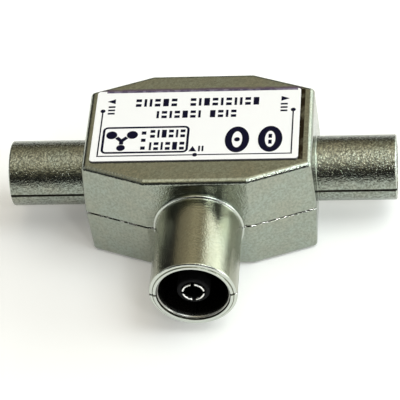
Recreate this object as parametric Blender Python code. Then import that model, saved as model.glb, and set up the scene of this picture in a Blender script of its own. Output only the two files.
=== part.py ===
"""Two-way coaxial aerial splitter: a plated zinc clamshell, one socket in front and a plug at each end.

Metres, +Z up. The origin is the centre of the flat underside.
The socket points to -Y, the plugs to -X and +X, and the halves meet at the height of the port axes.
"""

import math

import bmesh
import bpy
from mathutils import Matrix, Vector

MM = 0.001

# Cast body: an eight-sided box whose sides lean inwards from the parting plane
BODY_HALF_X = 16.8 * MM
BODY_HALF_Y = 11.6 * MM
SIDE_FACE = 16.4 * MM
FRONT_FACE = 15.0 * MM
UPPER_HEIGHT = 8.8 * MM
LOWER_HEIGHT = 8.3 * MM
WALL = 1.5 * MM
DRAFT = math.radians(2.2)
CORNER_RADIUS = 0.65 * MM
EDGE_RADIUS = 0.4 * MM
CAVITY_CORNER = 0.8 * MM
SEAM_GAP = 0.12 * MM
SEAM_CHAMFER = 0.12 * MM

# End plugs: cast tubes in the 9.52 mm aerial size, each with a solid pin
PLUG_RADIUS = 4.76 * MM
PLUG_WALL = 0.68 * MM
PLUG_LENGTH = 11.5 * MM
PLUG_DEPTH = 9.4 * MM
PLUG_MOUTH_CHAMFER = 0.3 * MM
PIN_RADIUS = 1.2 * MM
PIN_RECESS = 0.5 * MM

# Front socket: a cast tube round a spring sleeve and a split centre contact
SOCKET_BORE = 5.22 * MM
SOCKET_WALL = 1.0 * MM
SOCKET_LENGTH = 13.2 * MM
SOCKET_DEPTH = 9.6 * MM
SOCKET_LAND = 0.42 * MM
SOCKET_LAND_RISE = 0.14 * MM
SHOULDER_WIDTH = 0.34 * MM
SHOULDER_RISE = 0.3 * MM
SLEEVE_THICKNESS = 0.25 * MM
SLEEVE_RECESS = 0.3 * MM
SLEEVE_WAIST = 0.16 * MM
SLEEVE_SLOTS = 6
SLEEVE_SLOT_WIDTH = 0.4 * MM
CONTACT_HOLE = 1.22 * MM
CONTACT_WALL = 0.42 * MM
CONTACT_RECESS = 0.5 * MM
CONTACT_SLOTS = 4
CONTACT_SLOT_WIDTH = 0.34 * MM
CONTACT_SLOT_LENGTH = 5.5 * MM

# Insulators, held by a flange in a groove that both halves share
FLANGE_LIP = 0.5 * MM
FLANGE_LENGTH = 1.3 * MM
FLANGE_SETBACK = 0.5 * MM
COLLAR_WALL = 0.8 * MM
COLLAR_LENGTH = 1.3 * MM
SHROUD_WALL = 0.6 * MM
SHROUD_RECESS = 0.3 * MM

# Clearances
FIT = 0.08 * MM
SLIDE = 0.1 * MM
REST = 0.1 * MM

# Press pins of the lower half and their bosses
BOSS_RADIUS = 1.5 * MM
BOSS_FROM_WALL = 2.7 * MM
BOSS_OVERLAP = 0.1 * MM
PRESS_PIN_RADIUS = 0.8 * MM
PRESS_PIN_LENGTH = 2.6 * MM
PRESS_PIN_CHAMFER = 0.25 * MM

# Label on the top face
LABEL_WIDTH = 29.9 * MM
LABEL_DEPTH = 14.6 * MM
LABEL_THICKNESS = 0.25 * MM
LABEL_CORNER = 0.5 * MM
LABEL_OFFSET_X = -0.4 * MM
LABEL_OFFSET_Y = 0.3 * MM

# Circuit board, under the tails of the contacts
BOARD_THICKNESS = 1.0 * MM
BOARD_MARGIN = 0.6 * MM
BOARD_SIDE_GAP = 0.4 * MM
TAIL_RADIUS = 0.5 * MM
TAIL_OVER_BOARD = 1.2 * MM
RIB_WIDTH = 1.2 * MM
RIB_FROM_LEAD = 0.3 * MM

# Parts on the board
LEAD_RADIUS = 0.2 * MM
LEAD_HOLE = 0.32 * MM
LEAD_STUB = 0.5 * MM
STAND_OFF = 0.25 * MM
CAPACITOR_RADIUS = 1.9 * MM
CAPACITOR_THICKNESS = 1.4 * MM
CAPACITOR_PITCH = 2.0 * MM
RESISTOR_RADIUS = 0.85 * MM
RESISTOR_LENGTH = 3.4 * MM
RESISTOR_SPAN = 6.4 * MM
CORE_WIDTH = 7.0 * MM
CORE_HEIGHT = 3.6 * MM
CORE_LENGTH = 4.2 * MM
CORE_HOLE = 0.8 * MM
CORE_HOLE_PITCH = 3.2 * MM
RING_CORE_RADIUS = 1.7 * MM
RING_CORE_WIDTH = 1.1 * MM
RING_CORE_HEIGHT = 2.0 * MM
RING_CORE_CHAMFER = 0.3 * MM
WIRE_RADIUS = 0.16 * MM
WIRE_CLEARANCE = 0.1 * MM
RING_TURNS = 5
RING_SLACK_ACROSS = 1.7
RING_SLACK_UPRIGHT = 1.5
SPRING_WIDTH = 2.0 * MM
SPRING_THICKNESS = 0.25 * MM
SPRING_RISE = 3.4 * MM

# Fineness of the round forms
TUBE_STEPS = 48
INSERT_STEPS = 36
SMALL_STEPS = 24
CORNER_STEPS = 3
SLEEVE_STEPS = 5
CAPACITOR_STEPS = 18
RESISTOR_STEPS = 16
CORE_END_STEPS = 8
CORE_HOLE_STEPS = 14
RING_WIRE_STEPS = 14
CURVE_STEPS = 2
WIRE_SIDES = 6
LEAD_HOLE_SIDES = 8
SHARP_ANGLE = math.radians(32)
MERGE = 1e-7

PART_Z = LOWER_HEIGHT
TOP_Z = LOWER_HEIGHT + UPPER_HEIGHT
HALF_GAP = SEAM_GAP / 2
PLUG_BORE = PLUG_RADIUS - PLUG_WALL
SOCKET_RADIUS = SOCKET_BORE + SOCKET_WALL
CONTACT_RADIUS = CONTACT_HOLE + CONTACT_WALL
PLUG_MOUTH = BODY_HALF_X + PLUG_LENGTH
SOCKET_MOUTH = BODY_HALF_Y + SOCKET_LENGTH
BOARD_TOP = PART_Z - TAIL_RADIUS - REST
BOARD_BOTTOM = BOARD_TOP - BOARD_THICKNESS
SOCKET_COLLAR_END = BODY_HALF_Y - FLANGE_SETBACK - FLANGE_LENGTH - COLLAR_LENGTH
PLUG_COLLAR_END = BODY_HALF_X - FLANGE_SETBACK - FLANGE_LENGTH - COLLAR_LENGTH


def clear_scene():
    """Remove every object that the file starts with."""
    for old in list(bpy.data.objects):
        bpy.data.objects.remove(old)


def make_material(name, colour, roughness, metallic):
    """A Principled material of one colour."""
    material = bpy.data.materials.new(name)
    material.use_nodes = True
    shader = material.node_tree.nodes["Principled BSDF"]
    shader.inputs["Base Color"].default_value = (*colour, 1.0)
    shader.inputs["Roughness"].default_value = roughness
    shader.inputs["Metallic"].default_value = metallic
    material.diffuse_color = (*colour, 1.0)
    return material


def add_object(name, bm, material=None, parent=None):
    """Turn a bmesh into an object; one without a material is a helper that stays out of the model."""
    bmesh.ops.recalc_face_normals(bm, faces=bm.faces)
    mesh = bpy.data.meshes.new(name)
    bm.to_mesh(mesh)
    bm.free()
    mesh.shade_smooth()
    mesh.set_sharp_from_angle(angle=SHARP_ANGLE)
    obj = bpy.data.objects.new(name, mesh)
    bpy.context.scene.collection.objects.link(obj)
    obj.parent = parent
    if material is None:
        obj.hide_render = True
        obj.display_type = "WIRE"
    else:
        mesh.materials.append(material)
    return obj


def combine(obj, other, operation):
    """Join, cut or intersect with another object."""
    modifier = obj.modifiers.new(f"{operation.lower()} {other.name}", "BOOLEAN")
    modifier.operation = operation
    modifier.solver = "EXACT"
    modifier.object = other


def loft(bm, sections):
    """Add a solid through closed sections with equal numbers of points."""
    rings = [[bm.verts.new(point) for point in section] for section in sections]
    count = len(rings[0])
    for ring, following in zip(rings, rings[1:]):
        for i in range(count):
            j = (i + 1) % count
            bm.faces.new((ring[i], ring[j], following[j], following[i]))
    bm.faces.new(list(reversed(rings[0])))
    bm.faces.new(rings[-1])


def lofted(sections):
    """A bmesh that holds one lofted solid."""
    bm = bmesh.new()
    loft(bm, sections)
    return bm


def turned(profile, steps):
    """Revolve (radius, height) points about local Z: an open profile starts and ends on the axis."""
    bm = bmesh.new()
    verts = [bm.verts.new((radius, 0, height)) for radius, height in profile]
    edges = [bm.edges.new(pair) for pair in zip(verts, verts[1:])]
    if profile[0][0] > 0:
        edges.append(bm.edges.new((verts[-1], verts[0])))
    bmesh.ops.spin(
        bm,
        geom=verts + edges,
        axis=(0, 0, 1),
        cent=(0, 0, 0),
        angle=math.tau,
        steps=steps,
        use_merge=True,
    )
    bmesh.ops.remove_doubles(bm, verts=bm.verts, dist=MERGE)
    return bm


def tube_along(points, radius, sides=WIRE_SIDES):
    """A round wire along a path, with flat ends; its frame is carried along without twist."""
    bm = bmesh.new()
    path = [Vector(point) for point in points]
    normal = None
    sections = []
    for i, point in enumerate(path):
        before = path[max(i - 1, 0)]
        after = path[min(i + 1, len(path) - 1)]
        tangent = (after - before).normalized()
        if normal is None:
            normal = tangent.orthogonal().normalized()
        normal = (normal - tangent * normal.dot(tangent)).normalized()
        side = tangent.cross(normal)
        section = []
        for k in range(sides):
            angle = math.tau * k / sides
            section.append(point + radius * (math.cos(angle) * normal + math.sin(angle) * side))
        sections.append(section)
    loft(bm, sections)
    return bm


def smooth_path(corners):
    """Points on a Catmull-Rom curve through the corners."""
    points = [Vector(corner) for corner in corners]
    padded = [2 * points[0] - points[1], *points, 2 * points[-1] - points[-2]]
    path = []
    for a, b, c, d in zip(padded, padded[1:], padded[2:], padded[3:]):
        for k in range(CURVE_STEPS):
            t = k / CURVE_STEPS
            line = 2 * b + (c - a) * t
            bend = (2 * a - 5 * b + 4 * c - d) * t**2 + (3 * b - a - 3 * c + d) * t**3
            path.append((line + bend) / 2)
    path.append(points[-1])
    return path


def octagon(inset):
    """Corners of the body's outline, moved inwards, anticlockwise from the right-hand back."""
    side = SIDE_FACE / 2
    front = FRONT_FACE / 2
    slant = math.hypot(BODY_HALF_Y - side, BODY_HALF_X - front)
    normal_x = (BODY_HALF_Y - side) / slant
    normal_y = (BODY_HALF_X - front) / slant
    reach = normal_x * BODY_HALF_X + normal_y * side - inset
    half_x = BODY_HALF_X - inset
    half_y = BODY_HALF_Y - inset
    side = (reach - normal_x * half_x) / normal_y
    front = (reach - normal_y * half_y) / normal_x
    right_back = [(half_x, side), (front, half_y)]
    left_back = [(-x, y) for x, y in reversed(right_back)]
    left_front = [(-x, -y) for x, y in right_back]
    right_front = [(x, -y) for x, y in reversed(right_back)]
    return right_back + left_back + left_front + right_front


def slant_limit(x, inset):
    """How far back the inset outline reaches at a distance x from the middle."""
    (half_x, side), (front, half_y) = octagon(inset)[:2]
    if x <= front:
        return half_y
    return half_y - (x - front) * (half_y - side) / (half_x - front)


def circle(x, y, radius, steps):
    """Points round a circle."""
    angles = [math.tau * k / steps for k in range(steps)]
    return [(x + radius * math.cos(angle), y + radius * math.sin(angle)) for angle in angles]


def rounded(corners, radius):
    """Replace each corner of a convex outline by an arc."""
    points = []
    count = len(corners)
    for i, corner in enumerate(corners):
        here = Vector(corner)
        back = (Vector(corners[i - 1]) - here).normalized()
        ahead = (Vector(corners[(i + 1) % count]) - here).normalized()
        half = back.angle(ahead) / 2
        centre = here + (back + ahead).normalized() * radius / math.sin(half)
        start = here + back * radius / math.tan(half) - centre
        turn = math.pi - 2 * half
        if start.cross(here - centre) < 0:
            turn = -turn
        for k in range(CORNER_STEPS + 1):
            point = centre + Matrix.Rotation(turn * k / CORNER_STEPS, 2) @ start
            points.append((point.x, point.y))
    return points


def body_section(height, inset, corner_radius, side):
    """Rounded outline at a height above (side 1) or below (side -1) the parting plane."""
    z = PART_Z + side * height
    return [(x, y, z) for x, y in rounded(octagon(inset), corner_radius)]


def draft_at(height):
    """How far the walls have leaned in at a height from the parting plane."""
    return height * math.tan(DRAFT)


def body_shell(name, height, side, material):
    """Outer form of one half: chamfered at the seam, drafted, and rounded at its flat face."""
    sections = [
        body_section(HALF_GAP, SEAM_CHAMFER, CORNER_RADIUS - SEAM_CHAMFER, side),
        body_section(HALF_GAP + SEAM_CHAMFER, 0, CORNER_RADIUS, side),
    ]
    for k in range(CORNER_STEPS + 1):
        turn = math.pi / 2 * k / CORNER_STEPS
        level = height - EDGE_RADIUS * (1 - math.sin(turn))
        fillet = EDGE_RADIUS * (1 - math.cos(turn))
        sections.append(body_section(level, draft_at(level) + fillet, CORNER_RADIUS - fillet, side))
    return add_object(name, lofted(sections), material)


def body_cavity(name, height, side):
    """Space inside one half, open towards the other half."""
    roof = height - WALL
    sections = [
        body_section(level, WALL + draft_at(level), CAVITY_CORNER, side) for level in (-WALL, roof)
    ]
    return add_object(name, lofted(sections))


def half_disc(outward, distance, radius, floor, chamfer, side):
    """Section of a half tube: an arc over a flat that lies at the parting plane."""
    across = outward.cross(Vector((0, 0, 1)))
    low = math.asin((floor + chamfer) / radius)
    turn = math.pi - 2 * low
    steps = TUBE_STEPS // 2
    outline = []
    for k in range(steps + 1):
        angle = low + turn * k / steps
        outline.append((radius * math.cos(angle), radius * math.sin(angle)))
    if chamfer:
        edge = radius * math.cos(low) - chamfer
        outline += [(-edge, floor), (edge, floor)]
    centre = outward * distance + Vector((0, 0, PART_Z))
    return [centre + across * u + Vector((0, 0, side * v)) for u, v in outline]


def half_tube(name, outward, levels, side):
    """Solid half tube through (distance, radius, rise of the flat) levels."""
    sections = [
        half_disc(outward, distance, radius, HALF_GAP + rise, SEAM_CHAMFER, side)
        for distance, radius, rise in levels
    ]
    return add_object(name, lofted(sections))


def plug_tube(name, outward, side):
    """Outside of half an end plug, rooted in the wall of the body."""
    levels = [
        (BODY_HALF_X - WALL / 2, PLUG_RADIUS, 0),
        (PLUG_MOUTH - PLUG_MOUTH_CHAMFER, PLUG_RADIUS, 0),
        (PLUG_MOUTH - PLUG_MOUTH_CHAMFER / 3, PLUG_RADIUS - PLUG_MOUTH_CHAMFER / 3, SEAM_CHAMFER / 2),
        (PLUG_MOUTH, PLUG_RADIUS - PLUG_MOUTH_CHAMFER, SEAM_CHAMFER),
    ]
    return half_tube(name, outward, levels, side)


def socket_tube(name, outward, side):
    """Outside of half the socket: a low shoulder at its root and a raised inner land at its mouth."""
    shoulder = SOCKET_RADIUS + SHOULDER_WIDTH
    shoulder_end = BODY_HALF_Y + SHOULDER_RISE
    land_radius = SOCKET_BORE + SOCKET_LAND
    land_start = SOCKET_MOUTH - SOCKET_LAND_RISE
    rim = SOCKET_RADIUS - land_radius
    levels = [
        (BODY_HALF_Y - WALL / 2, shoulder, 0),
        (shoulder_end - SHOULDER_WIDTH / 3, shoulder, 0),
        (shoulder_end, shoulder - SHOULDER_WIDTH / 3, 0),
        (shoulder_end + SHOULDER_WIDTH / 3, SOCKET_RADIUS, 0),
        (land_start - rim / 2, SOCKET_RADIUS, 0),
        (land_start - rim / 6, SOCKET_RADIUS - rim / 4, SEAM_CHAMFER / 3),
        (land_start, land_radius + SOCKET_LAND_RISE / 4, SEAM_CHAMFER / 2),
        (SOCKET_MOUTH, land_radius, SEAM_CHAMFER),
    ]
    return half_tube(name, outward, levels, side)


def collar(name, outward, half_body, bore, collar_end, side):
    """Half ring inside the wall that carries the inner side of an insulator's groove."""
    radius = bore + FLANGE_LIP + FIT + COLLAR_WALL
    sections = [
        half_disc(outward, distance, radius, HALF_GAP, 0, side)
        for distance in (half_body - WALL / 2, collar_end)
    ]
    return add_object(name, lofted(sections))


def boss_places():
    """Centres of the press pins, close behind the slanted walls."""
    x = BODY_HALF_X - WALL - BOSS_FROM_WALL
    y = slant_limit(x, WALL) - BOSS_RADIUS + BOSS_OVERLAP
    return [(x, y), (-x, y), (-x, -y), (x, -y)]


def upright_cylinders(name, places, radius, low, high, chamfer=0):
    """Separate upright cylinders in one helper, with an optional chamfer on top."""
    bm = bmesh.new()
    levels = [(low, radius), (high - chamfer, radius)]
    if chamfer:
        levels.append((high, radius - chamfer))
    for x, y in places:
        loft(bm, [[(u, v, z) for u, v in circle(x, y, r, SMALL_STEPS)] for z, r in levels])
    return add_object(name, bm)


def box(name, low, high):
    """An upright box between two corners."""
    outline = [(low[0], low[1]), (high[0], low[1]), (high[0], high[1]), (low[0], high[1])]
    return add_object(name, lofted([[(x, y, z) for x, y in outline] for z in (low[2], high[2])]))


def port_bore(name, parent, bore, half_body, mouth):
    """Cutter for a port: the bore, the groove for the insulator's flange and the hole behind it."""
    groove = bore + FLANGE_LIP + FIT
    groove_front = half_body - FLANGE_SETBACK + FIT
    groove_back = groove_front - FLANGE_LENGTH - 2 * FIT
    behind = bore - FLANGE_LIP
    inner_end = groove_back - COLLAR_LENGTH - WALL
    profile = [
        (0, mouth + WALL),
        (bore, mouth + WALL),
        (bore, groove_front),
        (groove, groove_front),
        (groove, groove_back),
        (behind, groove_back),
        (behind, inner_end),
        (0, inner_end),
    ]
    return add_object(name, turned(profile, TUBE_STEPS), parent=parent)


def housing(name, height, side, ports, bores, material):
    """One cast half: shell, half tubes, collars and bosses, hollowed and bored."""
    body = body_shell(name, height, side, material)
    for port, outward in ports.items():
        builder = socket_tube if port == "socket" else plug_tube
        combine(body, builder(f"{name}_{port}_tube", outward, side), "UNION")
    combine(body, body_cavity(f"{name}_cavity", height, side), "DIFFERENCE")
    for port, outward in ports.items():
        if port == "socket":
            sizes = (BODY_HALF_Y, SOCKET_BORE, SOCKET_COLLAR_END)
        else:
            sizes = (BODY_HALF_X, PLUG_BORE, PLUG_COLLAR_END)
        combine(body, collar(f"{name}_{port}_collar", outward, *sizes, side), "UNION")
    ends = sorted((PART_Z + side * HALF_GAP, PART_Z + side * (height - WALL / 2)))
    combine(body, upright_cylinders(f"{name}_bosses", boss_places(), BOSS_RADIUS, *ends), "UNION")
    for bore in bores:
        combine(body, bore, "DIFFERENCE")
    return body


def add_upper_housing(ports, bores, material):
    """Upper half, with holes for the press pins."""
    upper = housing("upper_housing", UPPER_HEIGHT, 1, ports, bores, material)
    depth = PRESS_PIN_LENGTH + 2 * REST
    holes = upright_cylinders(
        "press_pin_holes", boss_places(), PRESS_PIN_RADIUS + FIT, PART_Z - depth, PART_Z + depth
    )
    combine(upper, holes, "DIFFERENCE")
    return upper


def add_lower_housing(ports, bores, material):
    """Lower half, with the press pins and the two ribs under the board."""
    lower = housing("lower_housing", LOWER_HEIGHT, -1, ports, bores, material)
    pins = upright_cylinders(
        "press_pins",
        boss_places(),
        PRESS_PIN_RADIUS,
        PART_Z - PRESS_PIN_LENGTH,
        PART_Z + PRESS_PIN_LENGTH,
        PRESS_PIN_CHAMFER,
    )
    combine(lower, pins, "UNION")
    capacitor_x = capacitor_places()["right_capacitor"][0]
    back = BODY_HALF_Y - WALL / 2
    for word, turn in (("left", -1), ("right", 1)):
        x = turn * (capacitor_x - LEAD_RADIUS - RIB_FROM_LEAD - RIB_WIDTH / 2)
        low = (x - RIB_WIDTH / 2, -board_front() + BOARD_MARGIN, WALL / 2)
        high = (x + RIB_WIDTH / 2, min(back, slant_limit(abs(x), WALL / 2)), BOARD_BOTTOM - REST)
        combine(lower, box(f"{word}_rib", low, high), "UNION")
    return lower


def add_label(material):
    """Stuck-on label, flat on the top face."""
    half_x = LABEL_WIDTH / 2
    half_y = LABEL_DEPTH / 2
    corners = [(half_x, half_y), (-half_x, half_y), (-half_x, -half_y), (half_x, -half_y)]
    outline = rounded(corners, LABEL_CORNER)
    sections = [[(x, y, z) for x, y in outline] for z in (0, LABEL_THICKNESS)]
    label = add_object("label", lofted(sections), material)
    label.location = (LABEL_OFFSET_X, LABEL_OFFSET_Y, TOP_Z)
    return label


def add_plug_insulator(word, parent, material):
    """Moulded disc that holds the pin in the middle of an end plug."""
    barrel = PLUG_BORE - FIT
    flange = barrel + FLANGE_LIP
    front = PLUG_MOUTH - PLUG_DEPTH
    flange_front = BODY_HALF_X - FLANGE_SETBACK
    flange_back = flange_front - FLANGE_LENGTH
    behind = barrel - FLANGE_LIP
    back = PLUG_COLLAR_END
    hole = PIN_RADIUS + FIT
    neck = hole + SHROUD_WALL
    profile = [
        (hole, front + SHROUD_WALL),
        (neck, front + SHROUD_WALL),
        (neck + SHROUD_WALL / 2, front),
        (barrel, front),
        (barrel, flange_front),
        (flange, flange_front),
        (flange, flange_back),
        (behind, flange_back),
        (behind, back),
        (hole, back),
    ]
    return add_object(f"{word}_plug_insulator", turned(profile, INSERT_STEPS), material, parent)


def add_plug_pin(word, parent, material):
    """Turned pin with a rounded tip and a thinner tail that lies over the board."""
    tip = PLUG_MOUTH - PIN_RECESS
    shank_back = PLUG_COLLAR_END - REST
    tail_back = board_half_width() - TAIL_OVER_BOARD
    profile = [(0, tip)]
    for k in range(1, CORNER_STEPS + 1):
        turn = math.pi / 2 * k / CORNER_STEPS
        profile.append((PIN_RADIUS * math.sin(turn), tip - PIN_RADIUS * (1 - math.cos(turn))))
    profile += [(PIN_RADIUS, shank_back), (TAIL_RADIUS, shank_back)]
    profile += [(TAIL_RADIUS, tail_back), (0, tail_back)]
    return add_object(f"{word}_plug_pin", turned(profile, SMALL_STEPS), material, parent)


def add_socket_insulator(parent, material):
    """Moulded bush with a flange in the groove and a shroud round the contact."""
    barrel = SOCKET_BORE - FIT
    flange = barrel + FLANGE_LIP
    front = SOCKET_MOUTH - SOCKET_DEPTH
    flange_front = BODY_HALF_Y - FLANGE_SETBACK
    flange_back = flange_front - FLANGE_LENGTH
    behind = barrel - FLANGE_LIP
    hole = CONTACT_RADIUS + FIT
    shroud = hole + SHROUD_WALL
    shroud_front = SOCKET_MOUTH - CONTACT_RECESS - SHROUD_RECESS
    profile = [
        (hole, shroud_front),
        (shroud - SHROUD_WALL / 3, shroud_front),
        (shroud, shroud_front - SHROUD_WALL / 3),
        (shroud, front),
        (barrel, front),
        (barrel, flange_front),
        (flange, flange_front),
        (flange, flange_back),
        (behind, flange_back),
        (behind, SOCKET_COLLAR_END),
        (hole, SOCKET_COLLAR_END),
    ]
    return add_object("socket_insulator", turned(profile, INSERT_STEPS), material, parent)


def slot_cutters(name, parent, count, width, low, high, reach, turn=0.0):
    """Flat blades round an axis: each cuts one slot from a tube."""
    bm = bmesh.new()
    for k in range(count):
        angle = math.tau * k / count + turn
        along = Vector((math.cos(angle), math.sin(angle), 0))
        across = Vector((-math.sin(angle), math.cos(angle), 0)) * width / 2
        near = along * width
        far = along * reach
        outline = [near - across, far - across, far + across, near + across]
        loft(bm, [[point + Vector((0, 0, z)) for point in outline] for z in (low, high)])
    return add_object(name, bm, parent=parent)


def add_socket_contact(parent, material):
    """Turned centre contact: a tube split in four, a stem and a tail over the board."""
    tip = SOCKET_MOUTH - CONTACT_RECESS
    hole_end = tip - CONTACT_SLOT_LENGTH - CONTACT_RADIUS
    stem_back = SOCKET_COLLAR_END - REST
    tail_back = board_front() - TAIL_OVER_BOARD
    lead_in = CONTACT_WALL / 4
    profile = [
        (0, hole_end),
        (CONTACT_HOLE, hole_end),
        (CONTACT_HOLE, tip - lead_in),
        (CONTACT_HOLE + lead_in, tip),
        (CONTACT_RADIUS - lead_in, tip),
        (CONTACT_RADIUS, tip - lead_in),
        (CONTACT_RADIUS, stem_back),
        (TAIL_RADIUS, stem_back),
        (TAIL_RADIUS, tail_back),
        (0, tail_back),
    ]
    contact = add_object("socket_contact", turned(profile, SMALL_STEPS), material, parent)
    slots = slot_cutters(
        "contact_slots",
        parent,
        CONTACT_SLOTS,
        CONTACT_SLOT_WIDTH,
        tip - CONTACT_SLOT_LENGTH,
        tip + CONTACT_RECESS,
        CONTACT_RADIUS * 2,
    )
    combine(contact, slots, "DIFFERENCE")
    return contact


def add_spring_sleeve(parent, material):
    """Thin sleeve in the socket, waisted and slotted so that its fingers grip a plug."""
    outer = SOCKET_BORE - SLIDE
    front = SOCKET_MOUTH - SLEEVE_RECESS
    back = SOCKET_MOUTH - SOCKET_DEPTH + REST
    length = front - back
    outside = []
    for k in range(SLEEVE_STEPS + 1):
        share = k / SLEEVE_STEPS
        waist = SLEEVE_WAIST * math.sin(math.pi * share) ** 2
        outside.append((outer - waist, front - length * share))
    inside = [(radius - SLEEVE_THICKNESS, height) for radius, height in reversed(outside)]
    shape = turned(outside + inside, INSERT_STEPS)
    sleeve = add_object("socket_spring_sleeve", shape, material, parent)
    slot_low = back + length * 0.16
    slot_high = back + length * 0.88
    slots = slot_cutters(
        "sleeve_slots",
        parent,
        SLEEVE_SLOTS,
        SLEEVE_SLOT_WIDTH,
        slot_low,
        slot_high,
        SOCKET_BORE,
        math.pi / SLEEVE_SLOTS,
    )
    combine(sleeve, slots, "DIFFERENCE")
    return sleeve


def board_half_width():
    """Half width of the board, between the bosses."""
    return BODY_HALF_X - WALL - BOSS_FROM_WALL - BOSS_RADIUS - BOARD_SIDE_GAP


def board_front():
    """Distance of the board's front edge from the middle, behind the socket's collar."""
    return SOCKET_COLLAR_END - BOARD_MARGIN * 2


def board_back():
    """Distance of the board's back edge from the middle."""
    return BODY_HALF_Y - WALL - BOARD_MARGIN


def lead_places():
    """Every lead hole in the board."""
    places = []
    for x, y in capacitor_places().values():
        for turn in (-1, 1):
            places.append((x, y + turn * CAPACITOR_PITCH / 2))
    for turn in (-1, 1):
        places.append((turn * RESISTOR_SPAN / 2, resistor_y()))
        places.append((turn * CORE_HOLE_PITCH / 2, core_y() - CORE_LENGTH / 2 - winding_reach(turn)))
        places.append(ring_lead(turn))
    return places


def add_board(material):
    """Drilled board with its back corners cut to follow the walls."""
    half = board_half_width()
    inset = WALL + BOARD_MARGIN
    front = octagon(inset)[1][0]
    outline = [
        (half, slant_limit(half, inset)),
        (min(front, half), board_back()),
        (-min(front, half), board_back()),
        (-half, slant_limit(half, inset)),
        (-half, -board_front()),
        (half, -board_front()),
    ]
    sections = [[(x, y, z) for x, y in outline] for z in (BOARD_BOTTOM, BOARD_TOP)]
    board = add_object("circuit_board", lofted(sections), material)
    bm = bmesh.new()
    for x, y in lead_places():
        hole = circle(x, y, LEAD_HOLE, LEAD_HOLE_SIDES)
        loft(bm, [[(u, v, z) for u, v in hole] for z in (BOARD_BOTTOM - REST, BOARD_TOP + REST)])
    combine(board, add_object("lead_holes", bm), "DIFFERENCE")
    return board


def capacitor_places():
    """Centres of the disc capacitors on the board, one near each port and one beside the ring core."""
    half = board_half_width()
    output_x = half - CAPACITOR_THICKNESS
    output_y = TAIL_RADIUS + CAPACITOR_RADIUS + BOARD_MARGIN * 2
    input_x = TAIL_RADIUS + CAPACITOR_THICKNESS * 1.5
    front_y = -board_front() + CAPACITOR_RADIUS + BOARD_MARGIN / 2
    return {
        "left_capacitor": (-output_x, output_y),
        "right_capacitor": (output_x, output_y),
        "input_capacitor": (input_x, front_y),
        "balance_capacitor": (input_x + CAPACITOR_THICKNESS * 2, front_y),
    }


def add_capacitor(name, x, y, material):
    """Coated ceramic disc on edge, with two wire leads through the board."""
    half = CAPACITOR_THICKNESS / 2
    radius = CAPACITOR_RADIUS
    flat = radius * 0.62
    shoulder = radius * 0.9
    shoulder_half = half * 0.72
    profile = [
        (0, half),
        (flat, half),
        (shoulder, shoulder_half),
        (radius, 0),
        (shoulder, -shoulder_half),
        (flat, -half),
        (0, -half),
    ]
    centre_z = BOARD_TOP + STAND_OFF + radius
    disc = turned(profile, CAPACITOR_STEPS)
    turn = Matrix.Translation((x, y, centre_z)) @ Matrix.Rotation(math.pi / 2, 4, "Y")
    bmesh.ops.transform(disc, matrix=turn, verts=disc.verts)
    body = add_object(name, disc, material)
    for word, sign in (("front", -1), ("back", 1)):
        foot_y = y + sign * CAPACITOR_PITCH / 2
        path = [(x, foot_y, BOARD_BOTTOM - LEAD_STUB), (x, foot_y, centre_z - radius / 2)]
        lead = add_object(f"{name}_{word}_lead", tube_along(path, LEAD_RADIUS))
        combine(body, lead, "UNION")
    return body


def resistor_y():
    """Line of the resistor, along the back of the board."""
    return board_back() - RESISTOR_RADIUS - BOARD_MARGIN


def add_resistor(material):
    """Axial resistor: a body with swollen ends on one bent wire."""
    radius = RESISTOR_RADIUS
    half = RESISTOR_LENGTH / 2
    end_radius = radius * 0.7
    waist = radius * 0.84
    swell_outer = half * 0.88
    swell_inner = half * 0.62
    waist_half = half * 0.5
    profile = [
        (0, half),
        (end_radius, half),
        (radius, swell_outer),
        (radius, swell_inner),
        (waist, waist_half),
        (waist, -waist_half),
        (radius, -swell_inner),
        (radius, -swell_outer),
        (end_radius, -half),
        (0, -half),
    ]
    axis_z = BOARD_TOP + STAND_OFF + radius
    y = resistor_y()
    turn = Matrix.Translation((0, y, axis_z)) @ Matrix.Rotation(math.pi / 2, 4, "Y")
    core = turned(profile, RESISTOR_STEPS)
    bmesh.ops.transform(core, matrix=turn, verts=core.verts)
    resistor = add_object("isolation_resistor", core, material)
    reach = RESISTOR_SPAN / 2
    bend = LEAD_RADIUS * 2
    ease = bend * 0.3
    for word, sign in (("left", -1), ("right", 1)):
        path = [
            (sign * waist_half, y, axis_z),
            (sign * (reach - bend), y, axis_z),
            (sign * (reach - ease), y, axis_z - ease),
            (sign * reach, y, axis_z - bend),
            (sign * reach, y, BOARD_BOTTOM - LEAD_STUB),
        ]
        lead = add_object(f"resistor_{word}_lead", tube_along(path, LEAD_RADIUS))
        combine(resistor, lead, "UNION")
    return resistor


def core_y():
    """Middle of the two-hole core, in front of the resistor."""
    loops = 2 * (WIRE_RADIUS + WIRE_CLEARANCE) + WIRE_CLEARANCE
    return resistor_y() - RESISTOR_RADIUS - loops - CORE_LENGTH / 2 - STAND_OFF


def core_z():
    """Height of the holes of the two-hole core."""
    return BOARD_TOP + REST + CORE_HEIGHT / 2


def winding_reach(turn):
    """How far in front of the core a lead comes down; the end lead passes outside the crossing."""
    step = 2 * WIRE_RADIUS + WIRE_CLEARANCE
    return step if turn < 0 else 2 * step


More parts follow.
